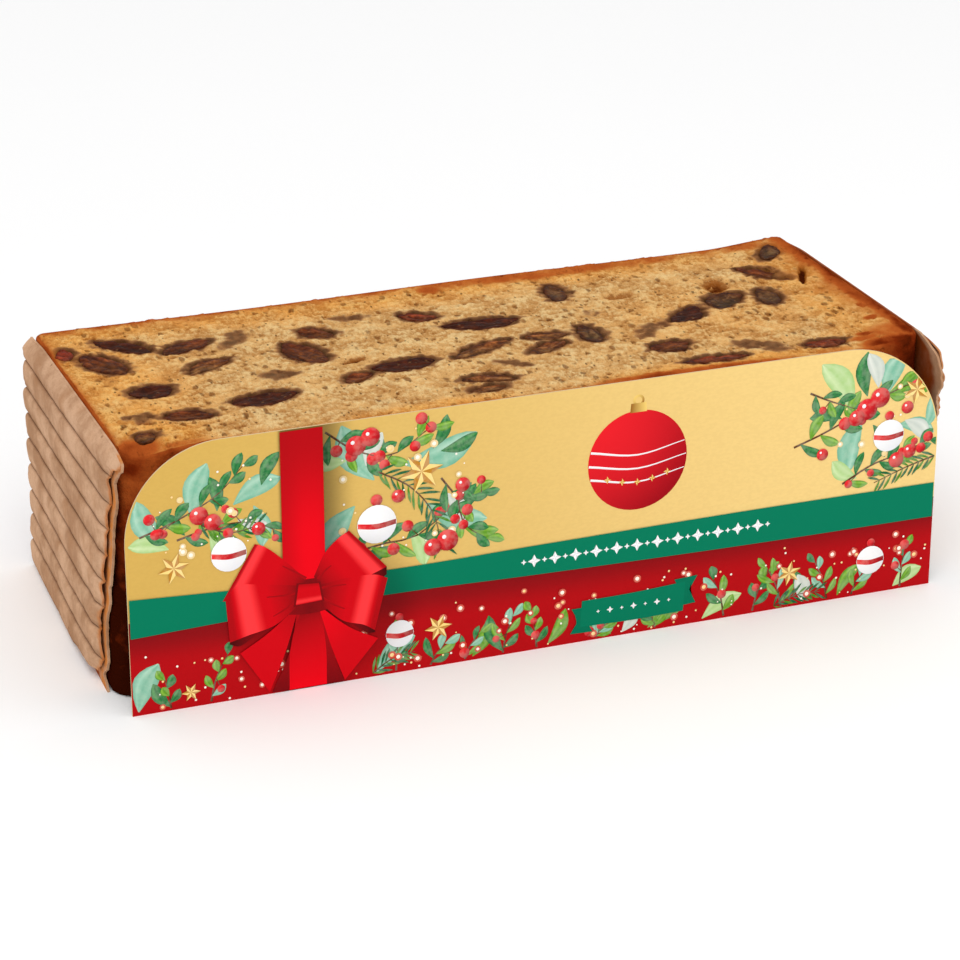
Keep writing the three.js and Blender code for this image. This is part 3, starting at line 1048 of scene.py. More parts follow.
@dataclass
class Loaf:
    """The loaf: rough crumb on its flat cut top, and crust over its sides."""

    left: float = -104.2
    right: float = 106.6
    front: float = 9.0  # behind the card's face
    back: float = 94.4
    height: float = 64.0
    end_rise: float = 1.2
    rise_width: float = 24.0
    unevenness: float = 0.3
    lean_front: float = 4.2
    lean_back: float = 1.0
    side_bulge: float = 0.7
    front_radius: float = 6.0
    back_radius: float = 1.8
    rim: float = 0.9
    base_rim: float = 1.2
    columns: int = 372
    rows: int = 148
    side_rows: int = 31
    rim_rows: int = 4
    socket_gap: float = 0.55  # between a raisin's skin and the crumb under it
    cover: float = 0.8  # crumb this thick hides a raisin
    juice_reach: float = 2.8
    faintest: float = 1.65  # hidden raisins deeper than this hardly show
    slump: float = 2.6  # how far the front left corner has sunk
    lip: float = 0.12  # least thickness of the crumb over a raisin's edge
    tear: float = 1.5  # depth of the torn places
    bound: float = 0.35  # how far the crumb may rise above the cut
    unset: float = 99.0  # a distance beyond every mask's reach

    @property
    def middle(self) -> tuple[float, float]:
        """Middle of the loaf in x and y."""
        return (self.left + self.right) / 2, (self.front + self.back) / 2 + CARD_FACE

    @property
    def half(self) -> tuple[float, float]:
        """Half the loaf's length and depth."""
        return (self.right - self.left) / 2, (self.back - self.front) / 2

    def top_at(self, x: np.ndarray, y: np.ndarray) -> np.ndarray:
        """Height of the cut top at each place."""
        along = smooth(self.right - self.rise_width, self.right, x)
        return self.height + self.end_rise * along + self.unevenness * ripple(x / 19, y / 13, 0.7)

    def lean_at(self, depth: np.ndarray, reach: float) -> np.ndarray:
        """How far the left end leans out at each depth, up to a depth of reach."""
        return self.lean_front + (self.lean_back - self.lean_front) * np.clip(depth / reach, 0, 1)

    def levels(self) -> list[tuple[float, float]]:
        """How far each ring below the top stands out from the top's edge, and its height.

        Returns:
            Distance out and height of each ring, from the top down.
        """
        rounding = [math.pi / 2 * i / self.rim_rows for i in range(1, self.rim_rows + 1)]
        rings = [(self.rim * math.sin(a), self.height - self.rim * (1 - math.cos(a))) for a in rounding]
        start = self.height - self.rim
        for i in range(1, self.side_rows + 1):
            rings.append((self.rim, start + (self.base_rim - start) * i / self.side_rows))
        rings.append((self.rim - 0.3 * self.base_rim, 0.3 * self.base_rim))
        rings.append((self.rim - self.base_rim, 0.0))
        return rings

    def blank(self) -> Piece:
        """A grid as large as the top, whose border is drawn down to the base ring by ring.

        Returns:
            The closed blank.
        """
        piece, s, t = grid("loaf", self.columns, self.rows)
        half_x, half_y = self.half
        x = (2 * s - 1) * (half_x - self.rim)
        y = (2 * t - 1) * (half_y - self.rim)
        set_points(piece, np.column_stack([x, y, np.full_like(x, self.height)]))
        choose(piece)
        bpy.ops.object.mode_set(mode="EDIT")
        bpy.ops.mesh.select_mode(type="EDGE")
        bpy.ops.mesh.select_all(action="DESELECT")
        bpy.ops.mesh.select_non_manifold()
        above = self.height
        for _, level in self.levels():
            bpy.ops.mesh.extrude_edges_move(TRANSFORM_OT_translate={"value": (0, 0, (level - above) * MM)})
            above = level
        bpy.ops.mesh.edge_face_add()
        bpy.ops.object.mode_set(mode="OBJECT")
        face_out(piece)
        return piece

    def rounded(self, points: np.ndarray, grow: np.ndarray) -> np.ndarray:
        """Rounds the upright corners of a blank and stands its rings out from the top's edge.

        Args:
            points: The blank's points.
            grow: How far each point's ring stands out.

        Returns:
            The moved points.
        """
        half_x, half_y = (value - self.rim for value in self.half)
        radius = np.where(points[:, 1] < 0, self.front_radius, self.back_radius)
        start_x, start_y = half_x - radius, half_y - radius
        out_x, out_y = np.abs(points[:, 0]), np.abs(points[:, 1])
        u = np.clip((out_x - start_x) / radius, 0, 1)
        v = np.clip((out_y - start_y) / radius, 0, 1)
        to_x = u * np.sqrt(1 - v * v / 2) * (radius + grow)
        to_y = v * np.sqrt(1 - u * u / 2) * (radius + grow)
        moved = points.copy()
        moved[:, 0] = np.sign(points[:, 0]) * (np.minimum(out_x, start_x) + to_x)
        moved[:, 1] = np.sign(points[:, 1]) * (np.minimum(out_y, start_y) + to_y)
        return moved

    def shape(self, piece: Piece) -> np.ndarray:
        """Gives the blank the loaf's form and returns its points.

        Args:
            piece: The blank.

        Returns:
            Its new points.
        """
        points = points_of(piece)
        heights = np.array([self.height] + [level for _, level in self.levels()])[::-1]
        outs = np.array([0.0] + [out for out, _ in self.levels()])[::-1]
        points = self.rounded(points, np.interp(points[:, 2], heights, outs))
        points[:, 0] += self.middle[0]
        points[:, 1] += self.middle[1]
        x, y, z = points.T
        share = z / self.height
        points[:, 2] = share * self.top_at(x, y)
        edge = np.minimum(x - self.left, behind(y) - self.front)
        corner = smooth(-82, -104, x) * smooth(28, 9, behind(y)) * np.exp(-np.maximum(edge, 0) / 4)
        points[:, 2] -= self.slump * corner * share**4
        reach = self.half[1] - self.front_radius
        beyond = np.maximum(np.abs(y - self.middle[1]) - reach, 0) / self.front_radius
        ends = 1 - np.abs(x / self.right) ** 4
        swell = np.sin(math.pi * np.clip(share, 0, 1)) * np.sign(y - self.middle[1]) * beyond
        points[:, 1] += self.side_bulge * swell * np.clip(ends, 0, 1) * (0.7 + 0.3 * np.sin(x / 17))
        lean = self.lean_at(behind(y), 2 * self.half[1] + self.front)
        points[:, 0] -= lean * (1 - np.clip(share, 0, 1)) * (self.right - x) / (self.right - self.left)
        set_points(piece, points)
        return points

    def raisins_under(self, points: np.ndarray, raisins: Sequence[Piece]) -> np.ndarray:
        """The height of the raisin's skin above or just below each top point, or -1.

        Args:
            points: The top's points.
            raisins: The raisin pieces.

        Returns:
            One height for each point.
        """
        graph = bpy.context.evaluated_depsgraph_get()
        trees = [BVHTree.FromObject(piece, graph) for piece in raisins]
        skin = np.full(len(points), -1.0)
        for index, (x, y, z) in enumerate(points):
            for tree in trees:
                hit = tree.ray_cast(Vector((x, y, z + 5)) * MM, -UP, 8 * MM)[0]
                if hit is not None:
                    skin[index] = hit.z / MM
        return skin

    def away_from(self, points: np.ndarray, chosen: np.ndarray, draw_out: float = 1.0) -> np.ndarray:
        """Each point's level distance to the nearest chosen point, with x counted draw_out times less.

        Args:
            points: The points.
            chosen: Which of them are chosen.
            draw_out: How much farther the distance reaches along x.

        Returns:
            One distance in mm for each point.
        """
        near = KDTree(int(chosen.sum()))
        flat = points * (1 / draw_out, 1, 0)
        for index in np.flatnonzero(chosen).tolist():
            near.insert(flat[index], index)
        near.balance()
        return np.array([near.find(point)[2] for point in flat])

    def build(self, material: Material, raisins: Sequence[Piece]) -> Piece:
        """Makes the loaf with a socket under each raisin.

        Args:
            material: The loaf's material.
            raisins: The raisin pieces.

        Returns:
            The loaf.
        """
        piece = self.blank()
        points = self.shape(piece)
        count = (self.columns + 1) * (self.rows + 1)
        on_top = np.arange(len(points)) < count
        skin = np.full(len(points), -1.0)
        away, faint = np.full(len(points), self.unset), np.full(len(points), self.unset)
        skin[:count] = self.raisins_under(points[:count], raisins)
        hidden = (skin > 0) & (skin < points[:, 2] - self.cover) & on_top
        inside = np.zeros(len(points))
        inside[:count] = self.away_from(points[:count], (skin < 0)[:count] | hidden[:count])
        flat = points * (1, 1, 0)
        ragged = 0.3 + 0.55 * cloud(flat, (4.0, 3.0, 1.0), 4.0) + 0.25 * cloud(flat, 1.4, 9.0)
        lipped = (skin > 0) & ~hidden & on_top & (inside <= ragged)
        open_here = (skin > 0) & ~hidden & on_top & ~lipped
        away[:count] = self.away_from(points[:count], open_here[:count], 1.8)
        deep = hidden & (skin < points[:, 2] - self.faintest)
        faint[:count] = self.away_from(points[:count], (hidden & ~deep)[:count], 1.5)
        faint[:count] = np.minimum(faint[:count], self.away_from(points[:count], deep[:count], 1.5) + 1.1)
        x, y, z = points.T
        depth = behind(y)
        rough = 0.8 * cloud(flat, 2.0, 13.0)
        torn = np.maximum.reduce([patch.over(x + rough, depth) for patch in TORN]) * on_top
        torn *= smooth(-0.7, -0.1, cloud(flat, (2.4, 1.7, 1.0), 17.0))
        cracks = np.maximum.reduce([patch.over(x + 0.5 * rough, depth) for patch in CRACKS]) * on_top
        torn = np.maximum(torn, cracks)
        weigh(piece, "cut", on_top * smooth(0.0, 1.0, away))
        ends = np.where(np.abs(x - self.middle[0]) > 102, 0.3, 1.0)
        weigh(piece, "crust", np.where(on_top, 0, smooth(0, 6, self.height - z) * smooth(0, 4, z)) * ends)
        displace(piece, "CLOUDS", 7.0, 0.7, "cut")
        displace(piece, "VORONOI", 3.2, -1.0, "cut", 0.0, ((0.0, 1.0), (0.1, 0.8), (0.2, 0.0)))
        displace(piece, "CLOUDS", 1.5, 0.85, "cut")
        displace(piece, "CLOUDS", 6.0, 1.0, "crust")
        displace(piece, "VORONOI", 4.0, 0.5, "crust")
        apply_modifiers(piece)
        points = points_of(piece)
        points[:, 2] = np.where(on_top, np.minimum(points[:, 2], z + self.bound), np.maximum(points[:, 2], 0))
        # how far the grain lies below the cut, where the material paints shade
        pit = smooth(0.25, 0.95, z - points[:, 2]) * on_top
        points[:, 2] -= self.tear * torn + 0.3 * on_top * smooth(0.8, 0.0, away) * ~open_here
        points[:, 2] = np.where(lipped, np.maximum(points[:, 2], skin + self.lip), points[:, 2])
        points[:, 2] = np.where(open_here, skin - self.socket_gap, points[:, 2])
        set_points(piece, points)
        self.write_masks(piece, points, on_top, (away, faint), torn, pit)
        # the relief mask is the grain's height, from which the material paints shade in the hollows and highlight on
        # the raised grains
        write_mask(piece, "relief", 0.5 + (points[:, 2] - z + 0.12))
        shade_smooth(piece, 60)
        return dress(piece, material, ["cake"])

    def write_masks(
        self, piece: Piece, points: np.ndarray, on_top: np.ndarray, juicy: tuple[np.ndarray, np.ndarray],
        torn: np.ndarray, pit: np.ndarray,
    ) -> None:
        """Writes where the loaf is baked, with painted shadow low on its front side, and where it is golden, stained
        with juice, torn and pitted, with painted shade in the pits.

        Args:
            piece: The loaf.
            points: Its points.
            on_top: Which of them are on the cut top.
            juicy: Distances to the open raisins and to the hidden ones.
            torn: How torn each point is.
            pit: How deep each point lies in the pits, for the painted shade there.
        """
        x, y, z = points.T
        depth = behind(y)
        flat = points * (1, 1, 0)
        wander = cloud(flat, 9.0, 2.0)
        rim = np.zeros(len(points))
        sides = (
            (x - self.left, 2.0, 0.52),
            (self.right - x, 5.4, 0.74),
            (depth - self.front, 1.5, 0.46),
            (self.back - depth, 3.2, 0.58),
        )
        for distance, width, strength in sides:
            rim = np.maximum(rim, strength * np.exp(-np.maximum(distance, 0) / (width * (1 + 0.5 * wander))))
        dark = np.maximum.reduce([patch.over(x + 0.8 * wander, depth) for patch in DARK_PATCHES])
        low = 1 - z / self.height
        front_side = smooth(40, 12, depth)
        blotch = cloud(points, (5.0, 5.0, 4.0), 21.0)
        side = 0.52 + (0.08 + 0.1 * front_side) * (wander + blotch)
        # the front side darkens towards its base: painted shadow of the card on the crust; every side also darkens a
        # little towards the base, and the front more towards the right end
        side = side + front_side * (0.38 * smooth(0.03, 0.5, low) - 0.06) + 0.14 * low
        side += 0.3 * smooth(92, 104, x) * front_side
        bake = np.where(on_top, np.maximum(rim, dark), side)
        gold = np.maximum.reduce([patch.over(x, depth + 1.5 * wander) for patch in GOLD_PATCHES])
        write_mask(piece, "bake", bake)
        write_mask(piece, "gold", gold * on_top)
        away, faint = juicy
        fine = cloud(flat, 2.2, 7.0)
        clear_edge = smooth(self.juice_reach, -0.3, away + 0.9 * fine) ** 1.9
        smudge = 0.78 * smooth(2.4, -0.8, faint + 1.1 * fine)
        write_mask(piece, "juice", on_top * np.maximum(clear_edge, smudge))
        write_mask(piece, "torn", torn * smooth(0.1, 0.7, torn + 0.3 * fine))
        # painted shade in the pits
        write_mask(piece, "pit", pit)


# ---------- paper ends ----------


class Side(Enum):
    """The two ends of the loaf, by the sign of x."""

    LEFT = -1
    RIGHT = 1


@dataclass
class PaperEnd:
    """Corrugated baking paper along one end: a flat liner with flutes that run front to back."""

    side: Side
    top: float
    phase: float
    flare: float
    tear: tuple[tuple[float, float], ...]  # torn front edge, as height and distance behind the card
    lip: float = 0.0  # how far the lowest flute's lower lip is torn off from the front
    unbaked: float = 7.5  # width of the pale border of the inner face
    pale_top: bool = True  # whether the top edge is unbaked
    pinched: float = 0.5  # how flat the flutes are pressed at the torn edge
    rimmed: bool = True  # whether the tear is browned on the inner face
    back: float = 94.2
    thickness: float = 3.0
    liner: float = 0.6
    sheet: float = 0.45
    valley_top: float = 1.85  # how far out the bottom of a valley is
    crest: float = 0.35  # where a flute stands out most, from -1 at its lower edge to 1
    bare: float = 2.2  # how far the liner reaches beyond the flutes in front
    pitch: float = 7.1
    spread: float = 0.09
    crush: float = 0.35
    flare_reach: float = 16.0
    lip_height: float = 2.4
    gap: float = 0.3
    along: int = 120
    round_flute: int = 22
    lining_rows: int = 140
    gather: float = 1.15  # how much closer the columns lie at the torn edge
    top_out: float = 0.35  # how far out the sheet ends at the top
    lean_reach: float = 95.2  # depth up to which the paper follows the loaf's lean

    def flute_edges(self) -> list[float]:
        """Heights between which the flutes lie.

        Returns:
            The heights, one more than there are flutes.
        """
        count = round(self.top / self.pitch)
        widths = [1 + self.spread * float(ripple(2.1 * i, 3.7 * i, self.phase)) for i in range(count)]
        return [0.0, *np.cumsum(widths) / sum(widths) * self.top]

    def profile(self) -> np.ndarray:
        """Points along the flutes' outline: how far out, height, and how much painted shade each gets, deep in the
        valleys and on the lower flanks.

        Returns:
            One point in each row, from the base up.
        """
        edges = self.flute_edges()
        foot = self.valley_top
        rows = []
        for low, high in zip(edges, edges[1:]):
            for i in range(self.round_flute):
                t = -math.cos(math.pi * i / self.round_flute)
                lobe = (t - self.crest) / (1 - self.crest if t > self.crest else 1 + self.crest)
                rise = max(1 - abs(lobe) ** (3.2 if t > self.crest else 1.8), 0) ** 0.52
                start = foot
                if high == self.top and t > 0:
                    rise, start = (1 - t**1.6) ** 0.9, self.top_out
                # the lower flank of each flute gets painted shade
                underside_shade = 0.62 * float(smooth(-0.05, -0.75, np.array(t)))
                out = start + (self.thickness - start) * rise
                z = (low + high) / 2 + t * (high - low) / 2
                rows.append((out, z, max((1 - rise) * (start == foot), underside_shade)))
        rows.append((self.top_out, self.top, 0.0))
        return np.array(rows)

    def front_at(self, z: np.ndarray, fluted: bool) -> np.ndarray:
        """Where the torn edge is at each height, behind the card's face.

        Args:
            z: The heights.
            fluted: Whether for the fluted sheet or the liner.

        Returns:
            One depth for each height.
        """
        heights, depths = np.array(self.tear).T
        line = on_line(z)
        ragged = 0.8 * cloud(line, 1.4, self.phase) + 1.6 * cloud(line, 4.5, self.phase + 4)
        front = np.interp(z, heights, depths) + ragged
        if not fluted:
            return front - 0.6
        front = front + self.bare * (1 + 0.5 * cloud(line, 3.0, self.phase + 6)) * smooth(self.top, self.top - 5, z)
        return np.where((z < self.lip_height) & (self.lip > 0), self.lip, front)

    def out_to_world(self, out: np.ndarray, depth: np.ndarray, z: np.ndarray, loaf: Loaf) -> np.ndarray:
        """Places points that are given by how far they stand out from the loaf.

        Args:
            out: How far out.
            depth: How far behind the card's face.
            z: The heights.
            loaf: The loaf.

        Returns:
            The places.
        """
        if self.side is Side.RIGHT:
            x = loaf.right + self.gap + out
        else:
            lean = loaf.lean_at(depth, self.lean_reach)
            x = loaf.left - self.gap - lean * (1 - np.clip(z / loaf.height, 0, 1)) - out
        return np.column_stack([x, depth + CARD_FACE, z])

    def press(self, out: np.ndarray, depth: np.ndarray, z: np.ndarray) -> tuple[np.ndarray, np.ndarray]:
        """Crushes the crests out of line, crumples the paper and spreads its upper front corner.

        Args:
            out: How far out.
            depth: How far behind the card's face.
            z: The heights.

        Returns:
            The new distances out and the new heights.
        """
        share = np.clip(out / self.thickness, 0, 1)
        y = depth + CARD_FACE
        high = smooth(self.top / 2, self.top, z)
        near = np.clip((self.flare_reach - depth) / self.flare_reach, 0, 1)
        spot = np.column_stack([depth, z, 0 * z])
        soft = 0.35 * cloud(spot, (26, 6, 1), self.phase) + 0.12 * cloud(spot, (8, 3, 1), self.phase + 5)
        creases = 0.16 * smooth(0.12, 0.0, np.abs(cloud(spot, (13, 7, 1), self.phase + 9)))
        moved = out + share * (self.crush * ripple(z / 9 + y / 21, y / 15, self.phase) + soft - creases)
        moved += self.flare * high * near**2
        lift = 0.4 * self.crush * share * np.minimum(z / self.pitch, 1) * ripple(y / 18, z / 6, self.phase + 2)
        lift *= smooth(self.top + 2, self.top - self.pitch, z)
        sag = 0.9 * smooth(self.back - 14, self.back, depth) * smooth(self.top - self.pitch, self.top, z)
        return moved, np.maximum(z + lift - sag, 0)

    def flutes(self, loaf: Loaf) -> Piece:
        """The fluted sheet.

        Args:
            loaf: The loaf.

        Returns:
            The sheet.
        """
        profile = self.profile()
        piece, s, t = grid("flutes", self.along, len(profile) - 1)
        row = np.rint(t * (len(profile) - 1)).astype(int)
        out, z, valley = profile[row].T
        front = self.front_at(z, True)
        depth = front + (self.back - front) * s**self.gather
        near_tear = smooth(4.5, 0, depth - front)
        pinch = 1 - near_tear * self.pinched * (1 + 0.4 * cloud(on_line(z), 6.0, self.phase + 2))
        pressed = np.where(out > self.liner, self.liner + (out - self.liner) * pinch, out)
        moved, lifted = self.press(pressed, depth, z)
        set_points(piece, self.out_to_world(moved, depth, lifted, loaf))
        frayed = depth - front + 0.8 * cloud(np.column_stack([z, depth, z]), 2.0)
        write_mask(piece, "edge", 0.7 * smooth(1.3, 0.1, frayed))
        # where the material paints shade
        write_mask(piece, "valley", smooth(0.25, 1.0, valley) ** 1.5)
        write_mask(piece, "baked", 0 * z if self.pale_top else 0.8 * smooth(3.0, 0.6, self.top - z))
        solidify(piece, self.sheet, -1 if self.side is Side.RIGHT else 1)
        return piece

    def lining(self, loaf: Loaf) -> Piece:
        """The flat sheet against the loaf, dark where it was baked against the cake.

        Args:
            loaf: The loaf.

        Returns:
            The sheet.
        """
        piece, s, t = grid("lining", self.along // 2, self.lining_rows)
        z = t * self.top
        front = self.front_at(z, False)
        depth = front + (self.back - front) * s**self.gather
        moved, lifted = self.press(0.02 + 0 * z, depth, z)
        set_points(piece, self.out_to_world(moved, depth, lifted, loaf))
        wavy = self.unbaked * (1 + 0.4 * cloud(on_line(z), 9.0, self.phase))
        pale = smooth(0.3, 1.6, self.top - z) if self.pale_top else 1.0
        rim = smooth(7.5, 5.0, depth - front) * smooth(-0.2, 0.6, depth - front)
        write_mask(piece, "edge", rim * self.rimmed)
        write_mask(piece, "valley", 0 * z)
        write_mask(piece, "baked", smooth(-1.5, 1.5, depth - front - wavy) * pale)
        solidify(piece, self.liner, 1 if self.side is Side.RIGHT else -1)
        return piece

    def build(self, material: Material, loaf: Loaf) -> Piece:
        """Makes the two sheets as one piece.

        Args:
            material: The paper.
            loaf: The loaf between the ends.

        Returns:
            The piece.
        """
        name = f"paper_{self.side.name.lower()}"
        piece = join([self.flutes(loaf), self.lining(loaf)], name)
        points = points_of(piece)
        points[:, 2] = np.maximum(points[:, 2], 0)
        set_points(piece, points)
        face_out(piece)
        shade_smooth(piece, 50)
        return dress(piece, material, [f"paper_end_{self.side.name.lower()}"])


# ---------- the card's print ----------


Point = tuple[float, float]


def through(points: Sequence[Point], count: int) -> np.ndarray:
    """A smooth line of count points through a few points.

    Args:
        points: The points it passes.
        count: How many points it has.

    Returns:
        The line's points.
    """
    known = np.array(points, float)
    padded = np.vstack([2 * known[0] - known[1], known, 2 * known[-1] - known[-2]])
    places = np.linspace(0, len(known) - 1, count)
    start = np.minimum(places.astype(int), len(known) - 2)
    t = (places - start)[:, None]
    a, b, c, d = (padded[start + i] for i in range(4))
    return 0.5 * (2 * b + (c - a) * t + (2 * a - 5 * b + 4 * c - d) * t**2 + (3 * b - a - 3 * c + d) * t**3)


def heading(line: np.ndarray, index: int) -> float:
    """The direction in degrees in which a line goes on from one of its points."""
    return math.degrees(math.atan2(*(line[index + 1] - line[index])[::-1]))


@dataclass(frozen=True)
class Ink:
    """A darker and a lighter shade of one printed colour."""

    dark: Colour
    light: Colour

    def at(self, share: np.ndarray) -> np.ndarray:
        """The colour at each share from dark, 0, to light, 1."""
        return np.array(self.dark) + np.clip(share, 0, 1)[:, None] * (np.array(self.light) - np.array(self.dark))

    def even(self, share: float) -> Shade:
        """A colouring that is the same all over a shape."""
        return lambda s, t: self.at(share + 0 * s)


# the leaves' greens, and the other inks
DARK = Ink(rgb(14, 92, 52), rgb(78, 160, 84))
FRESH = Ink(rgb(70, 130, 30), rgb(150, 200, 70))
TEAL = Ink(rgb(104, 172, 142), rgb(176, 218, 194))
PALE = Ink(rgb(160, 200, 120), rgb(214, 232, 178))
TWIG = Ink(rgb(70, 36, 22), rgb(110, 66, 40))
BERRY = Ink(rgb(140, 8, 22), rgb(238, 44, 50))
SILVER = Ink(rgb(188, 198, 188), rgb(232, 234, 224))
GREEN = Ink(rgb(0, 112, 82), rgb(0, 125, 92))
WHITE = Ink(rgb(226, 226, 230), rgb(250, 250, 250))
WARM = Ink(rgb(250, 236, 210), rgb(255, 250, 240))
GLOW = Ink(rgb(240, 190, 110), rgb(255, 226, 160))
GOLD = Ink(rgb(190, 130, 44), rgb(248, 216, 130))


@dataclass
class Print:
    """Flat printed shapes on the card's face, each a little prouder than the one before."""

    name: str
    level: float  # how far the first shape stands off the card
    step: float = 0.0004
    thickness: float = 0.008
    batch: int = 40  # shapes joined at a time, because many loose objects are slow
    low: Point = (-106.2, 0.3)  # the card's outline in x and z, a little inside its edge
    high: Point = (106.2, 67.7)
    corners: tuple[tuple[Point, float], ...] = (((-82.5, 44.0), 23.7), ((80.0, 41.5), 26.2))
    twig_columns: int = 10
    waist: float = 0.46  # of a star, as a share of its radius
    count: int = 0
    shapes: list[Piece] = field(default_factory=list)

    def trim(self, flat: np.ndarray) -> np.ndarray:
        """Brings points beyond the card's outline back to it, as if the print were cut there.

        Args:
            flat: Points in x and z.

        Returns:
            The trimmed points.
        """
        flat = np.clip(flat, self.low, self.high)
        for middle, radius in self.corners:
            centre = np.array(middle)
            out = (flat - centre) * (math.copysign(1, centre[0]), 1)
            length = np.hypot(*out.T)
            over = (out > 0).all(1) & (length > radius)
            flat[over] = centre + (flat[over] - centre) * (radius / length[over])[:, None]
        return flat

    def lay(self, piece: Piece, flat: np.ndarray) -> None:
        """Lays a shape, given by x and z, on the card.

        Args:
            piece: The shape.
            flat: Its points in x and z.
        """
        flat = self.trim(flat)
        y = np.full(len(flat), CARD_FACE - self.level - self.step * self.count)
        set_points(piece, np.column_stack([flat[:, 0], y, flat[:, 1]]))
        if len(self.shapes) >= self.batch:
            self.shapes = [join(self.shapes, self.name)]
        self.shapes.append(piece)
        self.count += 1

    def strip(
        self, one: Sequence[Point], other: Sequence[Point], shade: Shade, columns: int = 16, rows: int = 6,
        notch: float = 0.0,
    ) -> None:
        """A shape between two lines, coloured by the places along and across it.

        Args:
            one: Points of the first line.
            other: Points of the second.
            shade: The colouring.
            columns: Faces along.
            rows: Faces across.
            notch: How far its ends are cut in.
        """
        piece, s, t = grid("strip", columns, rows)
        near, far = through(one, columns + 1), through(other, columns + 1)
        column = np.rint(s * columns).astype(int)
        flat = near[column] * (1 - t)[:, None] + far[column] * t[:, None]
        flat[:, 0] += notch * (1 - np.abs(2 * t - 1)) * ((s < 0.01) * 1.0 - (s > 0.99))
        self.lay(piece, flat)
        write_colours(piece, "ink", shade(s, t))

    def leaf(
        self, at: Point, turn: float, length: float, width: float, ink: Ink, bend: float,
        fine: tuple[int, int] = (8, 4),
    ) -> None:
        """A pointed leaf with a darker rim and midrib.

        Args:
            at: The leaf's foot.
            turn: Its direction in degrees.
            length: Its length.
            width: Its width.
            ink: Its colour.
            bend: How far it curves, as a share of its length.
            fine: Faces along and across.
        """
        piece, s, t = grid("leaf", *fine)
        half = width / 2 * np.clip(np.sin(math.pi * s**1.15), 0.02, 1) ** 0.72 * (0.75 + 0.25 * s)
        u, v = s * length, half * (2 * t - 1) + bend * length * np.sin(math.pi * s)
        angle = math.radians(turn)
        flat = np.column_stack([u * math.cos(angle) - v * math.sin(angle), u * math.sin(angle) + v * math.cos(angle)])
        self.lay(piece, flat + at)
        side = np.abs(2 * t - 1)
        blade = 0.45 + 0.5 * s * (t > 0.5)
        write_colours(piece, "ink", ink.at(np.where(side > 0.9, 0.05, np.where(side < 0.1, 0.2, blade))))

    def disc(self, at: Point, radius: float, ink: Ink, sides: int = 18) -> None:
        """A round shape that is lighter towards its upper left.

        Args:
            at: Its middle.
            radius: Its radius.
            ink: Its colour.
            sides: How many sides.
        """
        clear_selection()
        bpy.ops.mesh.primitive_circle_add(vertices=sides, radius=1, fill_type="TRIFAN")
        piece = bpy.context.object
        flat = points_of(piece)[:, :2] * MM
        self.lay(piece, flat * radius + at)
        slope = 0.5 * (flat[:, 1] * 0.7 - flat[:, 0] * 0.7)
        write_colours(piece, "ink", ink.at(0.5 + slope + 0.25 * (np.hypot(*flat.T) < 0.5)))

    def twig(self, points: Sequence[Point], width: float, ink: Ink = TWIG) -> None:
        """A thin curved line that tapers.

        Args:
            points: Points it passes.
            width: Its width at the foot.
            ink: Its colour.
        """
        line = through(points, self.twig_columns + 1)
        along = np.gradient(line, axis=0)
        side = np.column_stack([-along[:, 1], along[:, 0]]) / np.linalg.norm(along, axis=1)[:, None]
        half = (width / 2 * np.linspace(1, 0.35, self.twig_columns + 1))[:, None]
        piece, s, t = grid("twig", self.twig_columns, 1)
        column = np.rint(s * self.twig_columns).astype(int)
        self.lay(piece, line[column] + (2 * t - 1)[:, None] * (side * half)[column])
        write_colours(piece, "ink", ink.at(t))

    def star(self, at: Point, radius: float, turn: float, points: int = 6, ink: Ink = GOLD) -> None:
        """A folded star whose facets are light and dark by turns, gold unless an ink is given.

        Args:
            at: Its middle.
            radius: Its radius.
            turn: Its turn in degrees.
            points: How many tips.
            ink: Its colour.
        """
        clear_selection()
        bpy.ops.mesh.primitive_circle_add(vertices=2 * points, radius=1, fill_type="TRIFAN")
        piece = bpy.context.object
        flat = points_of(piece)[:, :2] * MM
        angle = np.arctan2(flat[:, 1], flat[:, 0])
        tip = np.cos(points * angle) > 0
        reach = np.where(np.hypot(*flat.T) < 0.5, 0, np.where(tip, 1.0, self.waist)) * radius
        angle = angle + math.radians(turn)
        self.lay(piece, np.column_stack([reach * np.cos(angle), reach * np.sin(angle)]) + at)
        write_face_colours(piece, "ink", [ink.light if i % 2 else ink.dark for i in range(2 * points)])

    def sprig(
        self, points: Sequence[Point], leaves: int, length: float, width: float, inks: Sequence[Ink],
        draw: random.Random, berries: int, berry: float,
    ) -> None:
        """A twig with leaves on both sides, and berries beside it.

        Args:
            points: Points the twig passes.
            leaves: How many leaves.
            length: Their length.
            width: Their width.
            inks: Colours to draw from.
            draw: The source of chance.
            berries: How many berries.
            berry: Their radius.
        """
        line = through(points, 41)
        self.twig(points, 0.55)
        for i in range(leaves):
            share = (i + 0.8) / leaves
            spot = min(int(share * 40), 39)
            turn = heading(line, spot)
            lean = (48 if i % 2 else -48) * (1 - 0.6 * share) + draw.uniform(-10, 10)
            size = length * draw.uniform(0.8, 1.1) * (1 - 0.25 * share)
            across, ink = width * draw.uniform(0.85, 1.1), draw.choice(inks)
            self.leaf(tuple(line[spot]), turn + lean, size, across, ink, 0.08 if i % 2 else -0.08)
        for i in range(berries):
            spot = draw.randrange(6, 40)
            centre = line[spot] + np.array([draw.uniform(-3.2, 3.2), draw.uniform(-3.2, 3.2)])
            self.twig([tuple(line[spot]), tuple(centre)], 0.3)
            self.disc(tuple(centre), berry * draw.uniform(0.75, 1.2), BERRY)

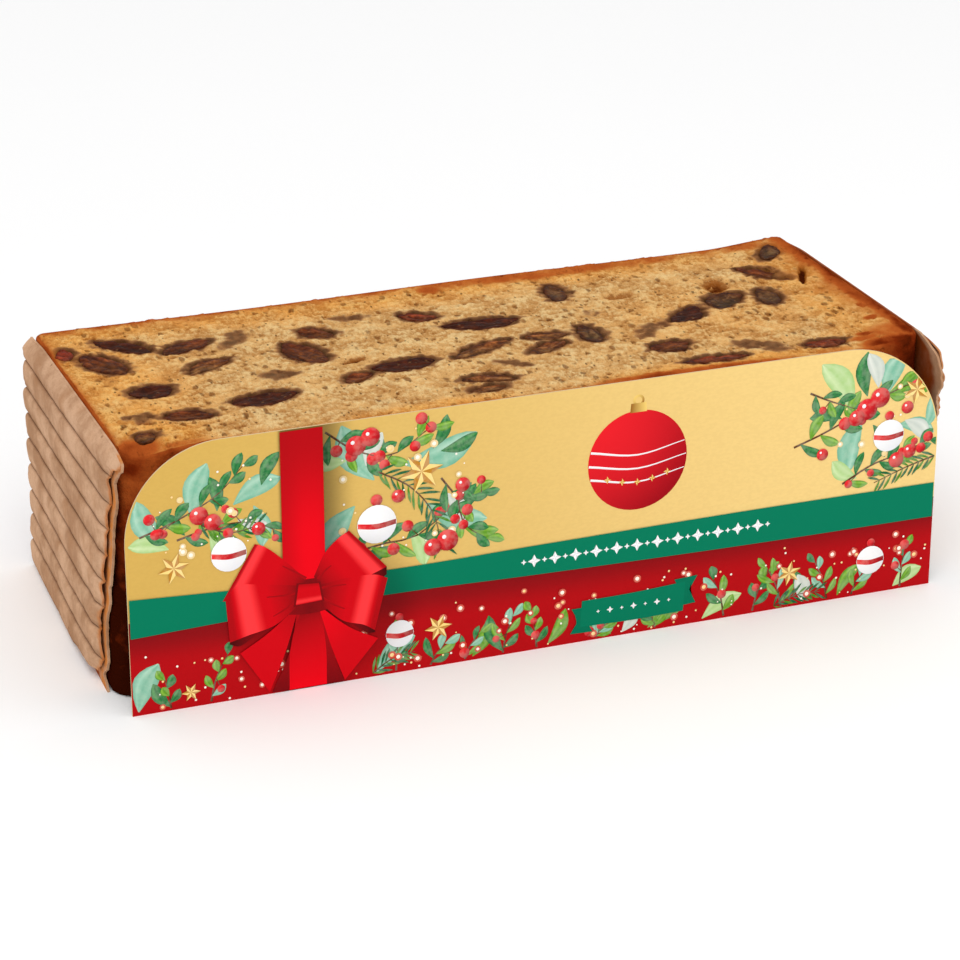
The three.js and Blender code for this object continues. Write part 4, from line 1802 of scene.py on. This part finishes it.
    def needles(self, points: Sequence[Point], count: int, length: float, draw: random.Random) -> None:
        """A fir twig: a stem with short needles on both sides.

        Args:
            points: Points the stem passes.
            count: Needles on each side.
            length: Their length.
            draw: The source of chance.
        """
        line = through(points, count + 1)
        self.twig(points, 0.45)
        for i in range(count):
            for side in (-1, 1):
                turn = heading(line, i) + side * draw.uniform(30, 48)
                size = length * draw.uniform(0.8, 1.1)
                ink = draw.choice((DARK, DARK, FRESH))
                self.leaf(tuple(line[i]), turn, size, 0.75, ink, 0.03 * side, (4, 1))

    def ball(self, at: Point, radius: float) -> None:
        """A small white tree ball with a red stripe and a red loop of string.

        Args:
            at: Its middle.
            radius: Its radius.
        """
        self.disc((at[0], at[1] + radius * 1.25), radius * 0.3, BERRY)
        self.disc(at, radius, WHITE, sides=24)
        x, z = at
        rim = radius * 0.97
        low = [(x - rim, z - 0.6), (x, z - 1.3), (x + rim, z - 0.6)]
        high = [(x - rim, z + 0.7), (x, z + 0.1), (x + rim, z + 0.7)]
        self.strip(low, high, lambda s, t: BERRY.at(1 - s), 10, 1)

    def sparkles(self, count: int, low: Point, high: Point, draw: random.Random, halo: Colour) -> None:
        """Scattered points of light, some with a halo.

        Args:
            count: How many.
            low: Lower left corner of their field.
            high: Upper right corner.
            draw: The source of chance.
            halo: The halo's colour.
        """
        for _ in range(count):
            at = (draw.uniform(low[0], high[0]), draw.uniform(low[1], high[1]))
            radius = draw.choice((0.2, 0.25, 0.3, 0.3, 0.42, 0.55))
            if radius > 0.4:
                self.disc(at, 1.9 * radius, Ink(halo, halo), sides=10)
            self.disc(at, radius, draw.choice((WARM, WARM, GLOW)), sides=8)

    def build(self, material: Material) -> Piece:
        """Joins the shapes to one piece of closed thin sheets.

        Args:
            material: The ink.

        Returns:
            The piece.
        """
        piece = join(self.shapes, self.name)
        solidify(piece, self.thickness, 0)
        face_out(piece)
        return dress(piece, material)


@dataclass
class Bow:
    """The printed red ribbon and its bow, in x and z on the card."""

    left: float = -68.3
    right: float = RIBBON_RIGHT
    top: float = 68.0
    level: float = 0.26

    dark: Colour = rgb(120, 8, 14)
    low: Colour = rgb(172, 6, 16)
    red: Colour = rgb(206, 4, 19)
    bright: Colour = rgb(234, 2, 22)
    shine: Colour = rgb(255, 58, 62)

    def fade(self, stops: Sequence[tuple[float, Colour]]) -> Shade:
        """A colouring that runs through stops along the shape.

        Args:
            stops: Places from 0 to 1 and colours.

        Returns:
            The colouring.
        """
        places = [place for place, _ in stops]
        def shade(s: np.ndarray, t: np.ndarray) -> np.ndarray:
            """The colour at each place along the shape."""
            return np.column_stack([np.interp(s, places, [c[k] for _, c in stops]) for k in range(3)])
        return shade

    def build(self, material: Material) -> Piece:
        """Makes the band, the tails, the four loops and the knot.

        Args:
            material: The ribbon's ink.

        Returns:
            The piece.
        """
        ink = Print("print_ribbon_and_bow", self.level)
        self.band(ink)
        self.tails(ink)
        self.loops(ink)
        self.knot(ink)
        return ink.build(material)

    def band(self, ink: Print) -> None:
        """The upright ribbon, brightest right of its middle and darker towards the top.

        Args:
            ink: The print it goes into.
        """
        def shade(s: np.ndarray, t: np.ndarray) -> np.ndarray:
            """Brighter to the right and down to the bow.

            Args:
                s: Places along the shape.
                t: Places across it.

            Returns:
                The colour at each place.
            """
            along, across = 0.1 + 0.9 * smooth(0.05, 0.75, s), 0.45 + 0.55 * smooth(0.0, 0.6, t)
            share = np.clip(along * across * (1 - 0.25 * smooth(0.85, 1.0, t)), 0, 1)[:, None]
            return np.array(self.low) * (1 - share) + np.array(self.bright) * share
        ink.strip([(self.left, self.top), (self.left, 28)], [(self.right, self.top), (self.right, 28)], shade, 20, 10)
        lower = self.fade([(0, self.dark), (0.25, self.low), (1, self.bright)])
        one, other = [(-64.2, 22), (-66.9, 11.5), (-67.6, 0.3)], [(-59.3, 22), (-57.9, 14), (-57.9, 0.3)]
        ink.strip(one, other, lower, 14, 6)

    def tails(self, ink: Print) -> None:
        """The two slanting tails with their dark gaps beside the ribbon.

        Args:
            ink: The print they go into.
        """
        shadow = self.fade([(0, self.low), (1, self.dark)])
        tail = self.fade([(0, self.low), (0.4, self.red), (1, self.red)])
        bright = self.fade([(0, self.bright), (0.6, self.red), (1, self.red)])
        for one, other, shade, fine in (
            ([(-65, 21), (-67.3, 10), (-71.8, 0.4)], [(-64, 21), (-66.9, 11.5), (-67.4, 0.4)], shadow, (8, 2)),
            ([(-59, 20), (-57.9, 10), (-57.9, 0.4)], [(-58.8, 20), (-56.3, 9), (-53.4, 0.4)], shadow, (8, 2)),
            ([(-65.2, 22), (-72.5, 16.3), (-79.5, 12.2)], [(-64.6, 22), (-68.2, 10.6), (-72.4, 0.6)], tail, (12, 8)),
            ([(-59.4, 21.4), (-52, 14.6), (-44.6, 10.3)],
             [(-59.6, 21.2), (-56.4, 9.5), (-53.3, 0.5)], bright, (12, 8)),
        ):
            ink.strip(one, other, shade, *fine)

    def loops(self, ink: Print) -> None:
        """The upper loops behind the lower ones, with a shine along each fold.

        Args:
            ink: The print they go into.
        """
        red, shine, low = self.red, self.shine, self.low
        plain = self.fade([(0, low), (0.5, self.dark), (1, low)])
        inside = self.fade([(0, self.dark), (1, rgb(60, 6, 8))])
        upper = self.fade([
            (0, self.dark), (0.12, low), (0.35, red), (0.62, red), (0.75, shine), (0.87, shine), (0.94, low),
            (1, low),
        ])
        lower = self.fade([
            (0, self.dark), (0.14, low), (0.34, red), (0.44, red), (0.55, shine), (0.66, shine), (0.78, red),
            (0.88, low), (1, low),
        ])
        for one, other, shade, fine in (
            ([(-82, 24.5), (-62, 19.8), (-43.5, 24)], [(-81.5, 28.5), (-62, 29), (-44, 28)], plain, (16, 3)),
            ([(-62.3, 28.7), (-68.2, 35.1), (-72.4, 38.9), (-75.1, 40.2)],
             [(-64, 26), (-73, 26.2), (-79.5, 26.2), (-83.4, 26.6)], upper, (40, 10)),
            ([(-60.6, 29.4), (-57.9, 34.9), (-54.6, 38.2), (-51.6, 40)],
             [(-59.5, 26), (-51.5, 26.6), (-46.5, 27.2), (-42.1, 29.0)], upper, (40, 10)),
            ([(-76, 16.6), (-79, 16.4), (-82, 15.7)], [(-76, 16.2), (-79.4, 14.2), (-82, 15)], inside, (8, 3)),
            ([(-50.5, 15.4), (-48, 14.3), (-45.5, 13)], [(-50.5, 15), (-47.5, 12.3), (-45.3, 12.1)], inside, (8, 3)),
            ([(-46, 27.6), (-43.8, 28.4), (-42.2, 29.0)],
             [(-46, 26.8), (-43.4, 26.4), (-42.2, 27.0)], inside, (6, 2)),
            ([(-64.2, 27.6), (-72.6, 29.2), (-79.5, 30.1), (-82.7, 26.8)],
             [(-64.6, 22.6), (-70.4, 18.3), (-77.5, 16.6), (-82, 15.5)], lower, (44, 12)),
            ([(-59.4, 27), (-51, 27.7), (-45.2, 27.4), (-42, 26)],
             [(-58.8, 21.6), (-53.6, 16.6), (-48.4, 14.6), (-45.4, 12.6)], lower, (44, 12)),
        ):
            ink.strip(one, other, shade, *fine)
        for crease in (
            [(-64.5, 26), (-68, 25.6), (-72.5, 25.9)],
            [(-64.6, 24.3), (-67.5, 22.2), (-71, 20.6)],
            [(-59, 26), (-56, 26.2), (-52.5, 26)],
            [(-58.9, 23.6), (-56, 21.4), (-53, 19.6)],
            [(-62.6, 29.2), (-65.5, 31.4), (-68.4, 33.4)],
            [(-59.6, 28.6), (-58, 30.4), (-56.2, 31.6)],
        ):
            ink.twig(crease, 0.8, Ink(rgb(150, 8, 16), self.low))

    def knot(self, ink: Print) -> None:
        """The folded knot, with a shine along its lower edge.

        Args:
            ink: The print it goes into.
        """
        side = self.fade([(0, self.dark), (1, self.dark)])
        ink.strip([(-65.0, 28.3), (-65.9, 22.2)], [(-59.0, 27.9), (-58.1, 22.5)], side, 6, 2)
        shade = self.fade([(0, self.low), (0.2, self.red), (0.7, self.red), (0.88, self.shine), (1, self.red)])
        ink.strip([(-64.5, 27.9), (-65.3, 22.6)], [(-59.4, 27.5), (-58.7, 22.9)], shade, 12, 4)


@dataclass
class FrontCard:
    """The printed card: the CAD node's board, with the print's shapes on its face."""

    seed: int = 11
    band_top: tuple[Point, ...] = ((-106.4, 30.5), (-72, 28.7), (-36, 28.0), (0, 28.4), (55, 28.8), (106.4, 28.6))
    band_low: tuple[Point, ...] = ((-106.4, 20.4), (-72, 21.4), (-36, 21.4), (0, 20.4), (55, 19.4), (106.4, 19.1))

    def band(self) -> Print:
        """The wavy green band with a row of small stars.

        Returns:
            The print.
        """
        ink = Print("print_green_band", 0.2)
        ink.strip(self.band_top, self.band_low, GREEN.even(0.6), 60, 4)
        for i in range(25):
            ink.star((-6.6 + 2.75 * i, 24.3), 1.7 if i % 2 else 0.75, 0, 4, WHITE)
        return ink

    def banner(self) -> Print:
        """A plain green banner with notched ends on the red field.

        Returns:
            The print.
        """
        ink = Print("print_banner", 0.2)
        ink.strip([(5.9, 2.6), (12, 2.4)], [(6.2, 9.4), (12, 9.4)], GREEN.even(0.0), 4, 4, 2.0)
        ink.strip([(34, 5.4), (40, 5.8)], [(34, 13.0), (40.4, 13.3)], GREEN.even(0.0), 4, 4, 2.0)
        low, high = [(8.6, 4.2), (22, 3.8), (36.6, 4.0)], [(9.0, 11.2), (22, 11.3), (37.0, 12.0)]
        ink.strip(low, high, GREEN.even(0.5), 16, 3)
        for i in range(7):
            ink.star((13.4 + 3.2 * i, 7.7), 0.9 if i % 2 else 0.5, 0, 4, WHITE)
        return ink

    def gold_field(self) -> Print:
        """Leaves, berries, stars and balls over the gold field, in a loose layout.

        Returns:
            The print.
        """
        draw = random.Random(self.seed)
        ink = Print("print_sprigs_above", 0.01)
        for x, z, turn, length, width, shade in ABOVE_LEAVES:
            ink.leaf((x, z), turn, length, width, shade, draw.choice((-0.1, 0.1)))
        for points, leaves, length, width, berries, berry in ABOVE_SPRIGS:
            ink.sprig(points, leaves, length, width, (DARK, DARK, FRESH), draw, berries, berry)
        for points, count, length in ABOVE_TWIGS:
            ink.needles(points, count, length, draw)
        halo = rgb(236, 208, 150)
        ink.sparkles(26, (-100, 37), (-70, 61), draw, halo)
        ink.sparkles(30, (-56, 31), (-22, 64), draw, halo)
        ink.sparkles(10, (76, 34), (103, 58), draw, halo)
        for x, z, radius, turn in ((-95, 37, 4.0, 12), (-33, 52.5, 5.6, 10), (100, 55, 4.0, 20)):
            ink.star((x, z), radius, turn)
        for x, z, radius in ((-81.5, 38.5, 4.4), (-44.5, 40.5, 5.0), (92.5, 43.5, 4.3)):
            ink.ball((x, z), radius)
        for x, z, radius in ABOVE_BERRIES:
            ink.disc((x, z), radius, BERRY)
            ink.disc((x - 0.3 * radius, z + 0.35 * radius), 0.2 * radius, WHITE, sides=8)
        return ink

    def red_field(self) -> Print:
        """Sprigs that grow up from the lower edge of the red field.

        Returns:
            The print.
        """
        draw = random.Random(self.seed + 1)
        ink = Print("print_sprigs_below", 0.01)
        greens = (DARK, FRESH, FRESH, TEAL)
        for x, z, turn, length, width, shade in BELOW_LEAVES:
            ink.leaf((x, z), turn, length, width, shade, draw.choice((-0.1, 0.1)))
        for x in (-97, -87, -40, -31, -22, -12, -3, 13, 29, 48, 56, 64, 77, 84, 98):
            lean = draw.uniform(-5, 5)
            height = draw.uniform(3, 5) if 5 < x < 40 else draw.uniform(6, 14)
            points = [(x, 0.6), (x + lean * 0.3, height * 0.5), (x + lean, height)]
            leaves, length, width = draw.choice((4, 5, 6)), draw.uniform(4, 6.5), draw.uniform(1.8, 2.6)
            ink.sprig(points, leaves, length, width, greens, draw, draw.choice((0, 1, 2)), 1.2)
        ink.needles([(-46, 1), (-41, 4), (-35, 5)], 9, 4, draw)
        ink.needles([(62, 1), (68, 3), (75, 3)], 9, 4, draw)
        halo = rgb(206, 66, 48)
        ink.sparkles(120, (-105, 0.6), (105, 13), draw, halo)
        ink.sparkles(45, (-105, 10), (105, 17.5), draw, halo)
        for x, z, radius, turn in ((-29, 10.5, 3.6, 5), (66, 9.5, 3.4, 18), (-92, 4, 2.4, 0)):
            ink.star((x, z), radius, turn)
        for x, z, radius in ((-39, 10.5, 3.6), (89, 9.5, 3.9)):
            ink.ball((x, z), radius)
        return ink

    def ornament(self) -> Print:
        """A plain red tree ball with a gold cap and white bands, on the open gold.

        Returns:
            The print.
        """
        ink = Print("print_tree_ball", 0.02)
        (x, z), radius, sag = (23.4, 47.0), 13.2, 2.2
        ink.disc((x, z), radius, Ink(rgb(150, 6, 20), rgb(232, 30, 40)), sides=48)
        for height in (-3.6, 0.0, 3.6):
            half = math.sqrt(radius**2 - height**2) * 0.985
            ink.twig([(x - half, z + height), (x, z + height - sag), (x + half, z + height)], 0.6, WHITE)
        for i in range(5):
            ink.star((x - 8 + 4 * i, z - 4.2 - 1.6 * math.sin(math.pi * i / 4)), 1.0, 0, 4)
        cap = Ink(rgb(150, 96, 30), rgb(240, 204, 112))
        ink.disc((x, z + radius + 2.6), 1.5, cap)
        ink.disc((x, z + radius + 2.6), 0.9, Ink(rgb(232, 194, 116), rgb(232, 194, 116)))
        low, high = z + radius - 0.5, z + radius + 1.9
        ink.strip([(x - 2.2, low), (x + 2.2, low)], [(x - 2.0, high), (x + 2.0, high)], lambda s, t: cap.at(s), 6, 1)
        return ink

    def build(self, board: Material, ink: Material, plain: Material, bow: Material) -> None:
        """Dresses the board and lays the print on it.

        Args:
            board: The card's own material.
            ink: Ink of the sprigs.
            plain: Ink of the plain shapes.
            bow: Ink of the ribbon.
        """
        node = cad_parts["card_front"]
        node.data.materials.clear()
        node.data.materials.append(board)
        for layer in (self.gold_field(), self.red_field()):
            layer.build(ink)
        for layer in (self.ornament(), self.band(), self.banner()):
            layer.build(plain)
        Bow().build(bow)


ABOVE_LEAVES = (
    (-97, 43, 118, 14, 6.5, TEAL), (-90, 49, 74, 14, 6.5, TEAL), (-80, 51, 24, 13, 6, TEAL),
    (-96, 42, 168, 10, 5, PALE), (-86, 44, -50, 11, 5, PALE), (-75, 50, -80, 11, 5, TEAL),
    (-92, 45, 140, 9, 4, DARK), (-84, 50, 100, 9, 3.8, DARK), (-73, 55, 60, 9, 4, DARK),
    (-45, 52, 118, 17, 8, TEAL), (-38, 55, 16, 20, 8, TEAL), (-50, 46, -122, 14, 7.5, TEAL),
    (-32, 44, -22, 17, 7, TEAL), (-36, 38, -70, 11, 5.5, PALE), (-52, 58, 168, 9, 5, PALE),
    (-30, 58, 66, 9, 3.8, DARK), (-28, 57, 20, 10, 4, DARK), (-42, 60, 140, 8, 3.5, DARK),
    (-26, 40, 46, 10, 4.4, DARK), (-22, 36, -12, 9, 4, FRESH), (-40, 34, -150, 10, 4.2, DARK),
    (82, 52, 124, 16, 7.5, PALE), (85, 50, -104, 16, 7, TEAL), (91, 54, 66, 13, 6.5, TEAL),
    (95, 46, -18, 11, 5, TEAL), (86, 55, 92, 12, 5, DARK), (92, 55, 32, 12, 5, FRESH),
    (79, 50, 172, 9, 4, DARK), (88, 47, -68, 10, 4.2, DARK), (84, 33, 142, 9, 5, PALE),
    (103, 44, 78, 9, 4.5, TEAL), (89, 57, 108, 10, 5, SILVER), (97, 47, -40, 9, 5, SILVER),
    (-47, 56, 62, 9, 5, SILVER), (-27, 46, -60, 10, 4.5, SILVER), (-79, 47, -20, 8, 4.5, SILVER),
)
ABOVE_SPRIGS = (
    (((-103, 46), (-94, 49), (-84, 54), (-77, 61)), 11, 7, 2.8, 6, 1.3),
    (((-94, 44), (-85, 46), (-76, 46), (-70, 43)), 9, 6.5, 2.6, 6, 1.2),
    (((-57, 66), (-49, 60), (-40, 58), (-30, 64)), 11, 8, 3.0, 8, 1.5),
    (((-54, 33), (-44, 35), (-34, 36), (-24, 43), (-17, 45)), 13, 7.5, 2.8, 7, 1.4),
    (((-28, 50), (-24, 44), (-22, 37), (-16, 32)), 8, 7, 2.7, 4, 1.3),
    (((66, 44), (75, 47), (84, 51), (95, 56), (103, 57)), 13, 8, 3.2, 7, 1.5),
    (((70, 58), (76, 55), (83, 52)), 6, 6, 2.4, 1, 1.2),
    (((80, 32), (88, 36), (96, 38), (105, 41)), 11, 6.5, 2.6, 7, 1.3),
)
ABOVE_TWIGS = (
    (((-88, 47), (-81, 44), (-73, 45)), 10, 4.4),
    (((-44, 54), (-36, 49), (-30, 41), (-28, 31)), 16, 5.4),
    (((106, 36), (98, 34), (89, 31)), 11, 4.2),
)
ABOVE_BERRIES = (
    (-88.5, 49.5, 2.3), (-85.2, 47.4, 2.1), (-74, 44, 1.7), (-49.5, 61.5, 2.6), (-45.8, 63.3, 2.4),
    (-26.5, 33.5, 2.8), (-30.3, 32.2, 2.3), (-22.5, 47.5, 1.9), (-39, 47, 1.7), (86, 51.5, 2.9), (89.6, 54.2, 2.7),
    (83.2, 49.6, 2.2),
    (97.5, 50.5, 1.7), (74, 41, 1.6), (95, 36.5, 2.1), (98.6, 38.4, 1.9), (102, 61.0, 1.8),
)
BELOW_LEAVES = (
    (-105, 1, 66, 13, 7, TEAL), (-97, 1, 122, 8, 3.6, DARK), (-45, 1, 40, 13, 5.5, TEAL),
    (-20, 1, 64, 10, 4.4, FRESH), (-12, 1, 110, 11, 4.2, DARK), (0, 1, 62, 10, 4, FRESH),
    (42, 0.8, 26, 12, 5, PALE), (73, 1, 120, 10, 4, DARK), (80, 1, 52, 10, 4, FRESH),
    (96, 1, 28, 9, 5, PALE), (20, 0.8, 60, 7, 4, SILVER), (70, 0.8, 100, 8, 5, SILVER),
    (17, 0.8, 150, 8, 3.4, DARK), (27, 0.8, 20, 9, 3, FRESH),
)


# ---------- studio ----------


@dataclass
class Studio:
    """A pale floor, soft lights, and the camera at the photograph's angle."""

    azimuth: float = -20.843
    elevation: float = 23.039
    distance: float = 787.175
    target: Triple = (-18.019, -47.6, 47.933)
    focal_pixels: float = 3262.345
    picture: float = 960.0
    sensor: float = 36.0
    floor_size: float = 12.0  # in metres, as the lamps' places and sizes
    surroundings: float = 0.87
    lamps: tuple[tuple[str, Triple, float, float], ...] = (
        ("key", (-0.35, -0.75, 1.15), 0.7, 5.0),
        ("fill", (0.9, -0.9, 0.5), 0.8, 1.2),
    )

    def build(self) -> None:
        """Sets up everything that isn't part of the object."""
        self.floor()
        self.lights()
        self.camera()
        bpy.context.scene.view_settings.view_transform = "Standard"

    def floor(self) -> None:
        """A wide pale floor."""
        clear_selection()
        bpy.ops.mesh.primitive_plane_add(size=self.floor_size)
        floor = bpy.context.object
        floor.name = "floor"
        recipe, shader = new_material("floor_pale")
        tint = recipe.noise(recipe.place(), 300.0, 2.0)
        recipe.feed(shader.inputs["Base Color"], recipe.mix(tint, rgb(253, 253, 253), rgb(255, 255, 255)))
        shader.inputs["Roughness"].default_value = 0.9
        floor.data.materials.append(bpy.data.materials["floor_pale"])

    def lights(self) -> None:
        """White surroundings with a soft key light and a weaker fill."""
        world = bpy.data.worlds.new("surroundings")
        world.use_nodes = True
        background = world.node_tree.nodes["Background"]
        background.inputs["Color"].default_value = (1, 1, 1, 1)
        background.inputs["Strength"].default_value = self.surroundings
        bpy.context.scene.world = world
        for name, place, size, power in self.lamps:
            clear_selection()
            bpy.ops.object.light_add(type="AREA", location=place)
            light = bpy.context.object
            light.name = name
            light.data.size = size
            light.data.energy = power
            light.rotation_euler = (-Vector(place)).to_track_quat("-Z", "Y").to_euler()

    def camera(self) -> None:
        """The camera, whose lens is worked out from the photograph's frame."""
        a, e = math.radians(self.azimuth), math.radians(self.elevation)
        back = Vector((math.sin(a) * math.cos(e), -math.cos(a) * math.cos(e), math.sin(e)))
        clear_selection()
        bpy.ops.object.camera_add(location=(Vector(self.target) + back * self.distance) * MM)
        camera = bpy.context.object
        camera.rotation_euler = back.to_track_quat("Z", "Y").to_euler()
        camera.data.sensor_width = self.sensor
        camera.data.lens = self.sensor * self.focal_pixels / self.picture
        camera.data.clip_start, camera.data.clip_end = 0.01, 50
        bpy.context.scene.camera = camera


LEFT_TEAR = (
    (0, 15), (3, 19), (8, 15.5), (14, 17.5), (20, 16), (30, 13), (39, 12.5),
    (46, 10.5), (52, 8.5), (56, 11.5), (59.5, 7.5), (62, 3.6), (64.3, 3.0),
)
RIGHT_TEAR = (
    (0, 13), (10, 13.5), (18, 11), (22, 12.5), (28, 8), (32, 9.5), (36, 6), (40, 3.2), (43, 4.6), (47, 1.6),
    (51, 3.2), (55, 0.6), (58, 1.0), (60.0, 3.4), (62.4, 6), (64.8, 13),
)


def main() -> None:
    """Builds the looks in order."""
    logging.basicConfig(level=logging.INFO, format="%(name)s %(message)s")
    make_specks()
    make_mottle()
    make_ribbon_shade()
    loaf = Loaf()
    raisins = Raisins().build(RaisinFinish().build(), loaf)
    loaf.build(CrumbFinish().build(), raisins)
    paper = PaperFinish().build()
    left = PaperEnd(Side.LEFT, 64.3, 0.4, 1.1, LEFT_TEAR, lip=39.0)
    left.build(paper, loaf)
    right = PaperEnd(
        Side.RIGHT, 64.8, 2.9, 0.0, RIGHT_TEAR, unbaked=3.4, pale_top=False, pinched=0.15, rimmed=False
    )
    right.build(paper, loaf)
    FrontCard().build(
        CardFinish().build(),
        InkFinish("ink_watercolour", True, 0.12).build(),
        InkFinish("ink_flat", True, 0.0).build(),
        InkFinish("ink_ribbon", False, 0.0).build(),
    )
    Studio().build()


if __name__ == "__main__":
    main()
